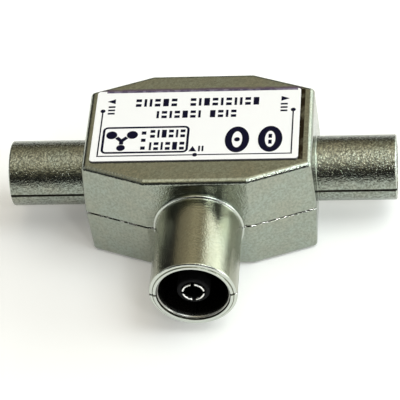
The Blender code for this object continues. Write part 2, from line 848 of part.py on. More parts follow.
def add_splitter_core(material):
    """Two-hole ferrite core, a stadium in section."""
    half_height = CORE_HEIGHT / 2
    half_flat = CORE_WIDTH / 2 - half_height
    y = core_y()
    outline = []
    for sign in (1, -1):
        for k in range(CORE_END_STEPS + 1):
            angle = -math.pi / 2 + math.pi * k / CORE_END_STEPS
            across = half_flat + half_height * math.cos(angle)
            outline.append((sign * across, sign * half_height * math.sin(angle)))
    ends = (y - CORE_LENGTH / 2, y + CORE_LENGTH / 2)
    sections = [[(x, end, core_z() + z) for x, z in outline] for end in ends]
    core = add_object("splitter_core", lofted(sections), material)
    bm = bmesh.new()
    for sign in (-1, 1):
        ring = circle(sign * CORE_HOLE_PITCH / 2, core_z(), CORE_HOLE, CORE_HOLE_STEPS)
        loft(bm, [[(x, end, z) for x, z in ring] for end in (y - CORE_LENGTH, y + CORE_LENGTH)])
    combine(core, add_object("core_holes", bm), "DIFFERENCE")
    return core


def add_splitter_winding(material):
    """Enamelled wire, twice through the two-hole core, with both ends in the board."""
    x = CORE_HOLE_PITCH / 2
    front = core_y() - CORE_LENGTH / 2
    back = core_y() + CORE_LENGTH / 2
    near = winding_reach(-1)
    lift = WIRE_RADIUS + WIRE_CLEARANCE
    low = core_z() - lift
    high = core_z() + lift
    foot = BOARD_BOTTOM - LEAD_STUB
    turn = WIRE_RADIUS * 2
    swing = near * 0.8
    corners = [
        (-x, front - near, foot),
        (-x, front - near, BOARD_TOP),
        (-x, front - near, low - turn),
        (-x, front - near + turn / 2, low - turn / 4),
        (-x, front, low),
        (-x, back, low),
        (-x + turn, back + swing, low),
        (x - turn, back + swing, low),
        (x, back, low),
        (x, front, low),
        (x - turn, front - swing, low + turn / 4),
        (-x + turn, front - swing, high - turn / 4),
        (-x, front, high),
        (-x, back, high),
        (-x + turn, back + swing, high),
        (x - turn, back + swing, high),
        (x, back, high),
        (x, front, high),
        (x, front - 2 * near + turn / 2, high - turn / 4),
        (x, front - 2 * near, high - turn),
        (x, front - 2 * near, BOARD_TOP),
        (x, front - 2 * near, foot),
    ]
    return add_object("splitter_winding", tube_along(smooth_path(corners), WIRE_RADIUS), material)


def ring_reach():
    """Half size of the winding round the ring core's section: across and upright."""
    spare = WIRE_RADIUS + WIRE_CLEARANCE
    across = RING_CORE_WIDTH / 2 + spare * RING_SLACK_ACROSS
    upright = RING_CORE_HEIGHT / 2 + spare * RING_SLACK_UPRIGHT
    return across, upright


def ring_centre():
    """Centre of the ring core, at the left of the board's front."""
    across, upright = ring_reach()
    outer = RING_CORE_RADIUS + across + WIRE_RADIUS
    x = -(board_half_width() - outer - BOARD_MARGIN)
    y = -board_front() + outer + BOARD_MARGIN / 2
    return Vector((x, y, BOARD_TOP + STAND_OFF + upright + WIRE_RADIUS))


def ring_lead(turn):
    """Foot of each end of the ring core's winding."""
    across, _ = ring_reach()
    centre = ring_centre()
    angle = turn * math.tau * (RING_TURNS - 1) / RING_TURNS / 2
    out = RING_CORE_RADIUS + across
    return (centre.x + out * math.cos(angle), centre.y + out * math.sin(angle))


def add_matching_core(material):
    """Ferrite ring with chamfered edges."""
    inner = RING_CORE_RADIUS - RING_CORE_WIDTH / 2
    outer = RING_CORE_RADIUS + RING_CORE_WIDTH / 2
    half = RING_CORE_HEIGHT / 2
    cut = RING_CORE_CHAMFER
    profile = [
        (inner, -half + cut),
        (inner, half - cut),
        (inner + cut, half),
        (outer - cut, half),
        (outer, half - cut),
        (outer, -half + cut),
        (outer - cut, -half),
        (inner + cut, -half),
    ]
    core = add_object("matching_core", turned(profile, SMALL_STEPS), material)
    core.location = ring_centre()
    return core


def add_matching_winding(material):
    """Enamelled wire wound round the ring core, with both ends down into the board."""
    across, upright = ring_reach()
    centre = ring_centre()
    turns = RING_TURNS - 1
    steps = RING_WIRE_STEPS * turns
    spread = math.tau * turns / RING_TURNS
    points = []
    for k in range(steps + 1):
        share = k / steps
        wind = math.tau * turns * share
        angle = spread * (share - 0.5)
        out = RING_CORE_RADIUS + across * math.cos(wind)
        points.append(
            centre + Vector((out * math.cos(angle), out * math.sin(angle), upright * math.sin(wind)))
        )
    start = Vector((*ring_lead(-1), BOARD_BOTTOM - LEAD_STUB))
    end = Vector((*ring_lead(1), BOARD_BOTTOM - LEAD_STUB))
    path = [start, Vector((start.x, start.y, BOARD_TOP)), *points]
    path += [Vector((end.x, end.y, BOARD_TOP)), end]
    return add_object("matching_winding", tube_along(path, WIRE_RADIUS), material)


def add_ground_spring(material):
    """Folded strip from the board's earth pad to the back wall."""
    wall_y = BODY_HALF_Y - WALL - draft_at(SPRING_RISE) - SPRING_THICKNESS / 2 - REST
    foot_z = BOARD_TOP + REST / 2 + SPRING_THICKNESS / 2
    back = board_back() - SPRING_THICKNESS
    x = RESISTOR_SPAN / 2 + SPRING_WIDTH / 2 + BOARD_MARGIN
    touch_low = PART_Z + SPRING_RISE * 0.55
    touch_high = PART_Z + SPRING_RISE * 0.7
    path = [
        (back - SPRING_WIDTH, foot_z),
        (back - SPRING_THICKNESS, foot_z),
        (back, foot_z + SPRING_THICKNESS),
        (wall_y, touch_low),
        (wall_y, touch_high),
        (wall_y - SPRING_THICKNESS * 2, PART_Z + SPRING_RISE),
    ]
    half = SPRING_THICKNESS / 2
    left_side = []
    right_side = []
    for i, point in enumerate(path):
        before = Vector(path[max(i - 1, 0)])
        after = Vector(path[min(i + 1, len(path) - 1)])
        along = (after - before).normalized()
        offset = Vector((-along.y, along.x)) * half
        left_side.append(Vector(point) + offset)
        right_side.append(Vector(point) - offset)
    outline = left_side + right_side[::-1]
    bm = bmesh.new()
    rings = []
    for end in (x - SPRING_WIDTH / 2, x + SPRING_WIDTH / 2):
        rings.append([bm.verts.new((end, p.x, p.y)) for p in outline])
    count = len(outline)
    for i in range(count):
        j = (i + 1) % count
        bm.faces.new((rings[0][i], rings[0][j], rings[1][j], rings[1][i]))
    for ring in rings:
        for i in range(len(path) - 1):
            bm.faces.new((ring[i], ring[i + 1], ring[count - 2 - i], ring[count - 1 - i]))
    return add_object("ground_spring", bm, material)


def add_port(name, turn, axis):
    """Empty at the middle of the body whose local Z runs out along a port's axis."""
    port = bpy.data.objects.new(name, None)
    port.location = (0, 0, PART_Z)
    port.rotation_euler = Matrix.Rotation(turn, 3, axis).to_euler()
    bpy.context.scene.collection.objects.link(port)
    return port


def main():
    clear_scene()
    plated = make_material("plated_zinc", (0.60, 0.60, 0.55), 0.34, 1.0)
    white = make_material("label_film", (0.92, 0.92, 0.92), 0.5, 0.0)
    black = make_material("black_plastic", (0.02, 0.02, 0.02), 0.45, 0.0)
    tinned = make_material("plated_contact", (0.78, 0.77, 0.74), 0.25, 1.0)
    bronze = make_material("spring_bronze", (0.62, 0.50, 0.32), 0.3, 1.0)
    laminate = make_material("board_laminate", (0.42, 0.27, 0.12), 0.55, 0.0)
    ferrite = make_material("ferrite", (0.09, 0.09, 0.095), 0.5, 0.0)
    enamel = make_material("enamelled_copper", (0.55, 0.20, 0.07), 0.3, 1.0)
    ceramic = make_material("capacitor_coating", (0.72, 0.42, 0.14), 0.5, 0.0)
    film = make_material("resistor_lacquer", (0.45, 0.62, 0.70), 0.45, 0.0)

    right_port = add_port("right_port", math.pi / 2, "Y")
    left_port = add_port("left_port", -math.pi / 2, "Y")
    front_port = add_port("front_port", math.pi / 2, "X")
    directions = {
        "socket": Vector((0, -1, 0)),
        "left": Vector((-1, 0, 0)),
        "right": Vector((1, 0, 0)),
    }
    bores = [
        port_bore("socket_bore", front_port, SOCKET_BORE, BODY_HALF_Y, SOCKET_MOUTH),
        port_bore("left_bore", left_port, PLUG_BORE, BODY_HALF_X, PLUG_MOUTH),
        port_bore("right_bore", right_port, PLUG_BORE, BODY_HALF_X, PLUG_MOUTH),
    ]
    add_upper_housing(directions, bores, plated)
    add_lower_housing(directions, bores, plated)
    add_label(white)

    for word, port in (("left", left_port), ("right", right_port)):
        add_plug_insulator(word, port, black)
        add_plug_pin(word, port, tinned)
    add_socket_insulator(front_port, black)
    add_socket_contact(front_port, tinned)
    add_spring_sleeve(front_port, bronze)

    add_board(laminate)
    add_splitter_core(ferrite)
    add_splitter_winding(enamel)
    add_matching_core(ferrite)
    add_matching_winding(enamel)
    add_resistor(film)
    for name, (x, y) in capacitor_places().items():
        add_capacitor(name, x, y, ceramic)
    add_ground_spring(bronze)


main()
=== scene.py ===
"""Two-way coaxial aerial splitter: finish of its plated casting, label and contacts, on a pale studio floor.

Metres, +Z up, in the CAD frame: origin at the centre of the flat underside, socket towards -Y,
plugs at -X and +X.
"""

import math

import bmesh
import bpy
from mathutils import Matrix, Vector


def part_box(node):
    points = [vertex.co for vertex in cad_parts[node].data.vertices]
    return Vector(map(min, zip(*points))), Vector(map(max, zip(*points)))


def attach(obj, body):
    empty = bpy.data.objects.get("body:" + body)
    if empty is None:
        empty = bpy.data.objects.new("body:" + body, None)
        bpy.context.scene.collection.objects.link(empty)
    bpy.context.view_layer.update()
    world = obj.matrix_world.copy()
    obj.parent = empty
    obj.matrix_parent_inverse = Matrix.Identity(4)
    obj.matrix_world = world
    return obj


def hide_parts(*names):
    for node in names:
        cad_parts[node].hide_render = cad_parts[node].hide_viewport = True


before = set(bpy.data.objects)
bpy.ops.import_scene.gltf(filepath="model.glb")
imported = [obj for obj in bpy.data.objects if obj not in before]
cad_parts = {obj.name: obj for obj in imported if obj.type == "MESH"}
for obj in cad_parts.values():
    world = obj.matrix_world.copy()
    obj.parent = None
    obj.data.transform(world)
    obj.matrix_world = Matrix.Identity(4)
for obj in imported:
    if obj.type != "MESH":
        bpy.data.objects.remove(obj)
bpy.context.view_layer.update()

MM = 0.001

# Casting: the sizes of the CAD source, with a rounder edge and small fillets of its own
UPPER_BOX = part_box("upper_housing")
BODY_HALF_X = 16.8 * MM
BODY_HALF_Y = UPPER_BOX[1].y
SIDE_FACE = 16.4 * MM
FRONT_FACE = 15.0 * MM
HALF_GAP = 0.06 * MM
SEAM_CHAMFER = 0.12 * MM
PART_Z = UPPER_BOX[0].z - HALF_GAP
UPPER_HEIGHT = UPPER_BOX[1].z - PART_Z
LOWER_HEIGHT = PART_Z
WALL = 1.5 * MM
DRAFT = math.radians(2.2)
CORNER_RADIUS = 0.65 * MM
EDGE_RADIUS = 0.8 * MM
MIN_CORNER = 0.06 * MM
CAVITY_CORNER = 0.8 * MM
ROOT_FILLET = 0.2 * MM
BORE_CHAMFER = 0.1 * MM

# Ports
PLUG_RADIUS = 4.76 * MM
PLUG_BORE = 4.08 * MM
PLUG_MOUTH = UPPER_BOX[1].x
PLUG_ROUNDING = 0.3 * MM
SOCKET_RADIUS = 6.22 * MM
SOCKET_BORE = 5.22 * MM
SOCKET_MOUTH = -UPPER_BOX[0].y
SOCKET_DEPTH = 9.6 * MM
SOCKET_LAND = 0.42 * MM
LAND_RISE = 0.14 * MM
RIM_LINE = 0.16 * MM
SHOULDER_WIDTH = 0.34 * MM
SHOULDER_RISE = 0.3 * MM
FLANGE_LIP = 0.5 * MM
FLANGE_LENGTH = 1.3 * MM
FLANGE_SETBACK = 0.5 * MM
COLLAR_WALL = 0.8 * MM
COLLAR_LENGTH = 1.3 * MM
FIT = 0.08 * MM

# Inserts
PIN_RADIUS = 1.2 * MM
TAIL_RADIUS = 0.5 * MM
SHROUD_WALL = 0.6 * MM
CONTACT_HOLE = 1.22 * MM
CONTACT_WALL = 0.42 * MM
CONTACT_RADIUS = CONTACT_HOLE + CONTACT_WALL
CONTACT_LAND = 0.28 * MM
CONTACT_TAPER = 0.9 * MM
CONTACT_SLOTS = 4
CONTACT_SLOT = 0.5 * MM
CONTACT_SLOT_LENGTH = 5.5 * MM
SLEEVE_THICKNESS = 0.25 * MM
SLEEVE_LEAD = 0.6 * MM
SLEEVE_WAIST = 0.16 * MM
SLEEVE_SLOTS = 6
SLEEVE_SLOT = 0.4 * MM
SLEEVE_SLOT_SPAN = (0.16, 0.88)

# Label, and the painted shade at its edges
LABEL_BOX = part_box("label")
LABEL_CORNER = 0.5 * MM
LABEL_EDGE = 0.05 * MM
INK_THICKNESS = 0.015 * MM
INK_SINK = 0.3 * INK_THICKNESS
SHADE_BESIDE_LABEL = 0.6 * MM
SHADE_BEHIND_LABEL = 0.5 * MM
BACK_SHADE_DEPTH = 0.38 * MM
BACK_SHADE_FROM_LEFT = 1.4 * MM

# Print, in millimetres from the label's centre
# A row is left, bottom, height, line and marks, where p is a pair of squares, s a stroke and b a block
TITLE_ROWS = (
    (-9.1, 3.9, 1.6, 0.37, "psspbp"),
    (-1.1, 3.9, 1.6, 0.37, "psbpspsspb"),
    (-5.9, 1.4, 1.5, 0.35, "spspbps"),
    (1.9, 1.4, 1.5, 0.35, "bpsp"),
)
FRAMED_ROWS = (
    (-6.5, -2.65, 1.6, 0.31, "psbpsp"),
    (-6.5, -5.2, 1.6, 0.31, "spspbp"),
)
BLOCK_WIDTH = 2.2
MARK_GAP = 1.1
PAIR_LOW = 0.36
PAIR_HIGH = 0.64

# Painted shade in the casting's seam, and painted highlights at its nicks and rims
SEAM_SHADE = 0.12 * MM
ARM_SEAM_SHADE = 0.2 * MM
RIM_HIGHLIGHT = 0.42 * MM

# Fineness
TUBE_STEPS = 128
INSERT_STEPS = 96
PIN_STEPS = 48
CORNER_STEPS = 8
RIM_STEPS = 6
SHROUD_STEPS = 5
SMALL_STEPS = 4
TIP_STEPS = 12
SLEEVE_STEPS = 24
OVAL_STEPS = 56
MERGE = 1e-7
SHARP = math.radians(28)

# Camera, from the fit to the photograph
CAMERA_YAW = math.radians(8.655)
CAMERA_ELEVATION = math.radians(45.085)
CAMERA_ROLL = math.radians(-7.035)
CAMERA_DISTANCE = 340.82 * MM
CAMERA_LENS = 208.8
CAMERA_SENSOR = 36.0
AIM_RIGHT = -1.131 * MM
AIM_UP = -4.286 * MM

# Studio: a pale floor, a dim room with soft patches of light, a window-like lamp and a small one
FLOOR_HALF = 1.5
FLOOR_LIFT = 0.16
FLOOR_GAP = 0.02 * MM
ROOM_BASE = (0.04, 0.04, 0.04)

# Patches: azimuth, elevation, half width in degrees, strength, colour
ROOM_PATCHES = (
    (0, 84, 38, 1.15, (1.0, 0.94, 0.80)),
    (60, 62, 30, 0.45, (1.0, 0.88, 0.60)),
    (-120, 62, 30, 0.4, (1.0, 0.90, 0.60)),
    (80, 42, 30, 0.18, (1.0, 0.88, 0.64)),
    (112, 43, 28, 0.36, (1.0, 0.87, 0.61)),
    (52, 25, 24, 2.4, (0.96, 1.0, 0.95)),
    (10, 10, 34, 5.2, (0.94, 1.0, 0.99)),
    (36, 2, 30, 1.0, (0.92, 1.0, 0.98)),
    (-35, 12, 15, 6.0, (1.0, 1.0, 1.0)),
    (186, 30, 36, 0.55, (0.98, 1.0, 1.0)),
)

# Lamps: name, azimuth, elevation, distance, width, height, power, colour
LAMPS = (
    ("key_lamp", -14, 59, 0.8, 0.45, 0.45, 2.5, (0.89, 0.97, 1.0)),
    ("edge_lamp", -59, 44, 0.8, 0.08, 0.08, 0.5, (1.0, 1.0, 1.0)),
)


# Mesh helpers


def new_object(name, bm):
    """A smooth-shaded object from a bmesh, with its creases kept."""
    bmesh.ops.recalc_face_normals(bm, faces=bm.faces)
    mesh = bpy.data.meshes.new(name)
    bm.to_mesh(mesh)
    bm.free()
    mesh.shade_smooth()
    mesh.set_sharp_from_angle(angle=SHARP)
    obj = bpy.data.objects.new(name, mesh)
    bpy.context.scene.collection.objects.link(obj)
    return obj


def helper(name, bm):
    """A cutter or an addend, gone once it is used."""
    obj = new_object(name, bm)
    obj.hide_render = True
    return obj


def combine(obj, other, operation):
    """Join or cut with a helper."""
    modifier = obj.modifiers.new(other.name, "BOOLEAN")
    modifier.operation = operation
    modifier.solver = "EXACT"
    modifier.object = other


def bake(obj, helpers):
    """Turn the modifiers' result into the object's own mesh and remove the helpers."""
    graph = bpy.context.evaluated_depsgraph_get()
    mesh = bpy.data.meshes.new_from_object(obj.evaluated_get(graph))
    obj.modifiers.clear()
    obj.data = mesh
    for other in helpers:
        bpy.data.objects.remove(other)
    bm = bmesh.new()
    bm.from_mesh(mesh)
    bmesh.ops.remove_doubles(bm, verts=bm.verts, dist=MERGE)
    bmesh.ops.dissolve_degenerate(bm, edges=bm.edges, dist=MERGE)
    bm.to_mesh(mesh)
    bm.free()
    mesh.shade_smooth()
    mesh.set_sharp_from_angle(angle=SHARP)


def weigh_normals(obj):
    """Keep broad flat faces flat in the shading beside narrow fillets."""
    modifier = obj.modifiers.new("weighted normals", "WEIGHTED_NORMAL")
    modifier.keep_sharp = True
    modifier.weight = 50


def bridge(bm, ring, following):
    """Add the faces between two rings with equal numbers of points."""
    count = len(ring)
    for i in range(count):
        j = (i + 1) % count
        bm.faces.new((ring[i], ring[j], following[j], following[i]))


def loft(bm, sections):
    """Add a closed solid through sections with equal numbers of points."""
    rings = [[bm.verts.new(point) for point in section] for section in sections]
    for ring, following in zip(rings, rings[1:]):
        bridge(bm, ring, following)
    bm.faces.new(list(reversed(rings[0])))
    bm.faces.new(rings[-1])


def lofted(sections):
    """A bmesh that holds one lofted solid."""
    bm = bmesh.new()
    loft(bm, sections)
    return bm


def turned(profile, steps, place):
    """Revolve (radius, height) points about local Z and place them; a profile from the axis stays open."""
    bm = bmesh.new()
    verts = [bm.verts.new((radius, 0, height)) for radius, height in profile]
    edges = [bm.edges.new(pair) for pair in zip(verts, verts[1:])]
    if profile[0][0] > 0:
        edges.append(bm.edges.new((verts[-1], verts[0])))
    bmesh.ops.spin(
        bm,
        geom=verts + edges,
        axis=(0, 0, 1),
        cent=(0, 0, 0),
        angle=math.tau,
        steps=steps,
        use_merge=True,
    )
    bmesh.ops.remove_doubles(bm, verts=bm.verts, dist=MERGE)
    bmesh.ops.transform(bm, matrix=place, verts=bm.verts)
    return bm


def octagon(inset):
    """Corners of the body's outline, moved inwards, anticlockwise from the right-hand back."""
    side = SIDE_FACE / 2
    front = FRONT_FACE / 2
    slant = math.hypot(BODY_HALF_Y - side, BODY_HALF_X - front)
    normal_x = (BODY_HALF_Y - side) / slant
    normal_y = (BODY_HALF_X - front) / slant
    reach = normal_x * BODY_HALF_X + normal_y * side - inset
    half_x = BODY_HALF_X - inset
    half_y = BODY_HALF_Y - inset
    side = (reach - normal_x * half_x) / normal_y
    front = (reach - normal_y * half_y) / normal_x
    right_back = [(half_x, side), (front, half_y)]
    left_back = [(-x, y) for x, y in reversed(right_back)]
    left_front = [(-x, -y) for x, y in right_back]
    right_front = [(x, -y) for x, y in reversed(right_back)]
    return right_back + left_back + left_front + right_front


def rounded(corners, radius):
    """Replace each corner of a convex outline by an arc."""
    points = []
    count = len(corners)
    for i, corner in enumerate(corners):
        here = Vector(corner)
        back = (Vector(corners[i - 1]) - here).normalized()
        ahead = (Vector(corners[(i + 1) % count]) - here).normalized()
        half = back.angle(ahead) / 2
        centre = here + (back + ahead).normalized() * radius / math.sin(half)
        start = here + back * radius / math.tan(half) - centre
        turn = math.pi - 2 * half
        if start.cross(here - centre) < 0:
            turn = -turn
        for k in range(CORNER_STEPS + 1):
            point = centre + Matrix.Rotation(turn * k / CORNER_STEPS, 2) @ start
            points.append((point.x, point.y))
    return points


def arc(steps=CORNER_STEPS):
    """(1 - cos, sin) along a quarter turn."""
    for k in range(steps + 1):
        turn = math.pi / 2 * k / steps
        yield 1 - math.cos(turn), math.sin(turn)


# Casting


def draft_at(height):
    """How far the walls have leaned in at a height from the parting plane."""
    return height * math.tan(DRAFT)


def body_section(height, inset, corner_radius, side):
    """Rounded outline at a height above (side 1) or below (side -1) the parting plane."""
    z = PART_Z + side * height
    return [(x, y, z) for x, y in rounded(octagon(inset), corner_radius)]


def body_shell(name, height, side):
    """Outer form of one half: chamfered at the seam, drafted, and rounded at its flat face."""
    sections = [
        body_section(HALF_GAP, SEAM_CHAMFER, CORNER_RADIUS - SEAM_CHAMFER, side),
        body_section(HALF_GAP + SEAM_CHAMFER, 0, CORNER_RADIUS, side),
    ]
    for inward, up in arc():
        level = height - EDGE_RADIUS * (1 - up)
        fillet = EDGE_RADIUS * inward
        corner_radius = max(CORNER_RADIUS - fillet, MIN_CORNER)
        sections.append(body_section(level, draft_at(level) + fillet, corner_radius, side))
    return new_object(name, lofted(sections))


def half_disc(outward, distance, radius, rise, lean, side, chamfer=SEAM_CHAMFER):
    """Section of a half tube: an arc over a chamfered flat near the parting plane."""
    floor = HALF_GAP + rise
    across = outward.cross(Vector((0, 0, 1)))
    low = math.asin((floor + chamfer) / radius)
    steps = TUBE_STEPS // 2
    outline = []
    for k in range(steps + 1):
        angle = low + (math.pi - 2 * low) * k / steps
        outline.append((radius * math.cos(angle), radius * math.sin(angle)))
    if chamfer:
        edge = radius * math.cos(low) - chamfer
        outline += [(-edge, floor), (edge, floor)]
    points = []
    for u, v in outline:
        reach = distance - lean * draft_at(v)
        points.append(outward * reach + across * u + Vector((0, 0, PART_Z + side * v)))
    return points


def plug_levels():
    """Outside of an end plug, from the cove at the leaning wall to the round mouth, which opens the seam.

    Each level is (distance, radius, rise of the flat, lean).
    """
    levels = [(BODY_HALF_X - WALL / 2, PLUG_RADIUS + ROOT_FILLET * 0.9, 0, 1)]
    for inward, up in list(arc())[1:]:
        levels.append((BODY_HALF_X + ROOT_FILLET * inward, PLUG_RADIUS + ROOT_FILLET * (1 - up), 0, 1))
    for inward, up in arc():
        reach = PLUG_MOUTH - PLUG_ROUNDING * (1 - up)
        levels.append((reach, PLUG_RADIUS - PLUG_ROUNDING * inward, SEAM_CHAMFER * inward, 0))
    return levels


def socket_levels():
    """Outside of the socket, in like levels: shoulder at the root, round rim, and land round the bore."""
    shoulder = SOCKET_RADIUS + SHOULDER_WIDTH
    end = BODY_HALF_Y + SHOULDER_RISE
    land = SOCKET_BORE + SOCKET_LAND
    rim = SOCKET_RADIUS - land
    soft = SHOULDER_WIDTH / 2
    levels = [(BODY_HALF_Y - WALL / 2, shoulder, 0, 0)]
    for inward, up in arc(SMALL_STEPS):
        levels.append((end - soft * (1 - up), shoulder - soft * inward, 0, 0))
    for inward, up in list(arc(SMALL_STEPS))[1:]:
        levels.append((end + soft * inward, SOCKET_RADIUS + soft * (1 - up), 0, 0))
    ledge = SOCKET_MOUTH - LAND_RISE
    rim_width = rim * 0.7
    rim_depth = rim / 2
    for inward, up in arc(RIM_STEPS):
        reach = ledge - rim_depth * (1 - up)
        levels.append((reach, SOCKET_RADIUS - rim_width * inward, SEAM_CHAMFER * inward, 0))
    edge = LAND_RISE / 4
    levels.append((ledge + edge / 4, land + edge / 4, SEAM_CHAMFER, 0))
    for inward, up in arc(SMALL_STEPS):
        levels.append((SOCKET_MOUTH - edge * (1 - up), land - edge * inward, SEAM_CHAMFER, 0))
    return levels


class Port:
    """A port's direction, the matrix whose local Z runs out along its axis, and its sizes."""

    def __init__(self, outward, turn, axis, wall, bore, mouth, levels):
        self.outward = Vector(outward)
        self.place = Matrix.Translation((0, 0, PART_Z)) @ Matrix.Rotation(turn, 4, axis)
        self.wall = wall
        self.bore = bore
        self.mouth = mouth
        self.levels = levels


QUARTER = math.pi / 2
SOCKET = Port((0, -1, 0), QUARTER, "X", BODY_HALF_Y, SOCKET_BORE, SOCKET_MOUTH, socket_levels())
LEFT_PLUG = Port((-1, 0, 0), -QUARTER, "Y", BODY_HALF_X, PLUG_BORE, PLUG_MOUTH, plug_levels())
RIGHT_PLUG = Port((1, 0, 0), QUARTER, "Y", BODY_HALF_X, PLUG_BORE, PLUG_MOUTH, plug_levels())
PORTS = {"socket": SOCKET, "left": LEFT_PLUG, "right": RIGHT_PLUG}


def rim_groove(name):
    """Cutter for the turned line between the socket's rim and its land."""
    land = SOCKET_BORE + SOCKET_LAND
    ledge = SOCKET_MOUTH - LAND_RISE
    profile = [
        (land + RIM_LINE * 0.1, ledge + RIM_LINE / 4),
        (land + RIM_LINE, ledge + RIM_LINE / 4),
        (land + RIM_LINE * 0.5, ledge - RIM_LINE / 2),
    ]
    return helper(name, turned(profile, TUBE_STEPS, SOCKET.place))


def collar(name, port, side):
    """Half ring inside the wall, behind the insulator's groove."""
    radius = port.bore + FLANGE_LIP + FIT + COLLAR_WALL
    start = port.wall - WALL / 2
    end = port.wall - FLANGE_SETBACK - FLANGE_LENGTH - COLLAR_LENGTH
    sections = [half_disc(port.outward, reach, radius, 0, 0, side, 0) for reach in (start, end)]
    return helper(name, lofted(sections))


def port_bore(name, port):
    """Cutter for a port: chamfered bore, groove for the flange, and the hole behind it."""
    bore = port.bore
    mouth = port.mouth
    groove = bore + FLANGE_LIP + FIT
    groove_front = port.wall - FLANGE_SETBACK + FIT
    groove_back = groove_front - FLANGE_LENGTH - 2 * FIT
    behind = bore - FLANGE_LIP
    inner_end = groove_back - COLLAR_LENGTH - WALL
    profile = [
        (0, mouth + WALL),
        (bore + BORE_CHAMFER + WALL, mouth + WALL),
        (bore + BORE_CHAMFER, mouth),
        (bore + BORE_CHAMFER * 0.3, mouth - BORE_CHAMFER * 0.3),
        (bore, mouth - BORE_CHAMFER),
        (bore, groove_front),
        (groove, groove_front),
        (groove, groove_back),
        (behind, groove_back),
        (behind, inner_end),
        (0, inner_end),
    ]
    return helper(name, turned(profile, TUBE_STEPS, port.place))


def half_casting(name, height, side, node, material):
    """One cast half, hollow and bored, over the CAD half that it stands for."""
    body = body_shell(name, height, side)
    helpers = []

    def use(other, operation):
        combine(body, other, operation)
        helpers.append(other)

    for word, port in PORTS.items():
        sections = [half_disc(port.outward, *level, side) for level in port.levels]
        use(helper(f"{name}_{word}_tube", lofted(sections)), "UNION")
    roof = height - WALL
    cavity = [body_section(level, WALL + draft_at(level), CAVITY_CORNER, side) for level in (-WALL, roof)]
    use(helper(f"{name}_cavity", lofted(cavity)), "DIFFERENCE")
    for word, port in PORTS.items():
        use(collar(f"{name}_{word}_collar", port, side), "UNION")
    for word, port in PORTS.items():
        use(port_bore(f"{name}_{word}_bore", port), "DIFFERENCE")
    use(rim_groove(f"{name}_rim_groove"), "DIFFERENCE")
    bake(body, helpers)
    weigh_normals(body)
    finish_piece(body, material, "plated_zinc", node)


def finish_piece(piece, material, slot, *nodes):
    """Give a piece its material and its body, and hide the CAD nodes it stands for; the slot is not used."""
    piece.data.materials.clear()
    piece.data.materials.append(material)
    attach(piece, "root")
    if nodes:
        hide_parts(*nodes)


# Inserts


def plug_bush(word, material):
    """Moulded disc in an end plug."""
    node = f"{word}_plug_insulator"
    barrel = PLUG_BORE - FIT
    inner, front = sorted(abs(corner.x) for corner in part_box(node))
    flange_front = BODY_HALF_X - FLANGE_SETBACK
    hole = PIN_RADIUS + FIT
    neck = hole + SHROUD_WALL
    profile = [
        (hole, front),
        (neck, front),
        (neck + SHROUD_WALL / 2, front - SHROUD_WALL),
        (barrel - FIT, front - SHROUD_WALL),
        (barrel, front - SHROUD_WALL - FIT),
        (barrel, flange_front),
        (barrel + FLANGE_LIP, flange_front),
        (barrel + FLANGE_LIP, flange_front - FLANGE_LENGTH),
        (barrel - FLANGE_LIP, flange_front - FLANGE_LENGTH),
        (barrel - FLANGE_LIP, inner),
        (hole, inner),
    ]
    piece = new_object(f"{word}_plug_bush", turned(profile, INSERT_STEPS, PORTS[word].place))
    finish_piece(piece, material, "black_plastic", node)


def plug_pin(word, material):
    """Turned pin with a rounded tip and a thinner tail."""
    node = f"{word}_plug_pin"
    tail, tip = sorted(abs(corner.x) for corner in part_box(node))
    shank = BODY_HALF_X - FLANGE_SETBACK - FLANGE_LENGTH - COLLAR_LENGTH - FIT
    profile = [(0, tip)]
    for inward, up in list(arc(TIP_STEPS))[1:]:
        profile.append((PIN_RADIUS * up, tip - PIN_RADIUS * inward))
    profile += [(PIN_RADIUS, shank), (TAIL_RADIUS, shank), (TAIL_RADIUS, tail), (0, tail)]
    piece = new_object(f"{word}_centre_pin", turned(profile, PIN_STEPS, PORTS[word].place))
    finish_piece(piece, material, "plated_contact", node)


def blades(name, place, count, width, low, high, reach, turn):
    """Flat blades round a port's axis, to cut slots."""
    bm = bmesh.new()
    for k in range(count):
        angle = math.tau * k / count + turn
        along = Vector((math.cos(angle), math.sin(angle), 0))
        across = Vector((-math.sin(angle), math.cos(angle), 0)) * width / 2
        near = along * width
        far = along * reach
        outline = [near - across, far - across, far + across, near + across]
        loft(bm, [[point + Vector((0, 0, z)) for point in outline] for z in (low, high)])
    bmesh.ops.transform(bm, matrix=place, verts=bm.verts)
    return helper(name, bm)


def socket_bush(material):
    """Moulded bush with a shroud round the contact."""
    node = "socket_insulator"
    low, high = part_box(node)
    front = -low.y
    back = -high.y
    barrel = SOCKET_BORE - FIT
    face = SOCKET_MOUTH - SOCKET_DEPTH
    flange_front = BODY_HALF_Y - FLANGE_SETBACK
    hole = CONTACT_RADIUS + FIT
    shroud = hole + SHROUD_WALL
    soft = SHROUD_WALL / 3
    profile = [(hole, front - soft / 2), (hole + soft / 2, front)]
    for inward, up in arc(SHROUD_STEPS):
        profile.append((shroud - soft * (1 - up), front - soft * inward))
    profile += [
        (shroud, face),
        (barrel, face),
        (barrel, flange_front),
        (barrel + FLANGE_LIP, flange_front),
        (barrel + FLANGE_LIP, flange_front - FLANGE_LENGTH),
        (barrel - FLANGE_LIP, flange_front - FLANGE_LENGTH),
        (barrel - FLANGE_LIP, back),
        (hole, back),
    ]
    piece = new_object("socket_bush", turned(profile, INSERT_STEPS, SOCKET.place))
    finish_piece(piece, material, "black_plastic", node)


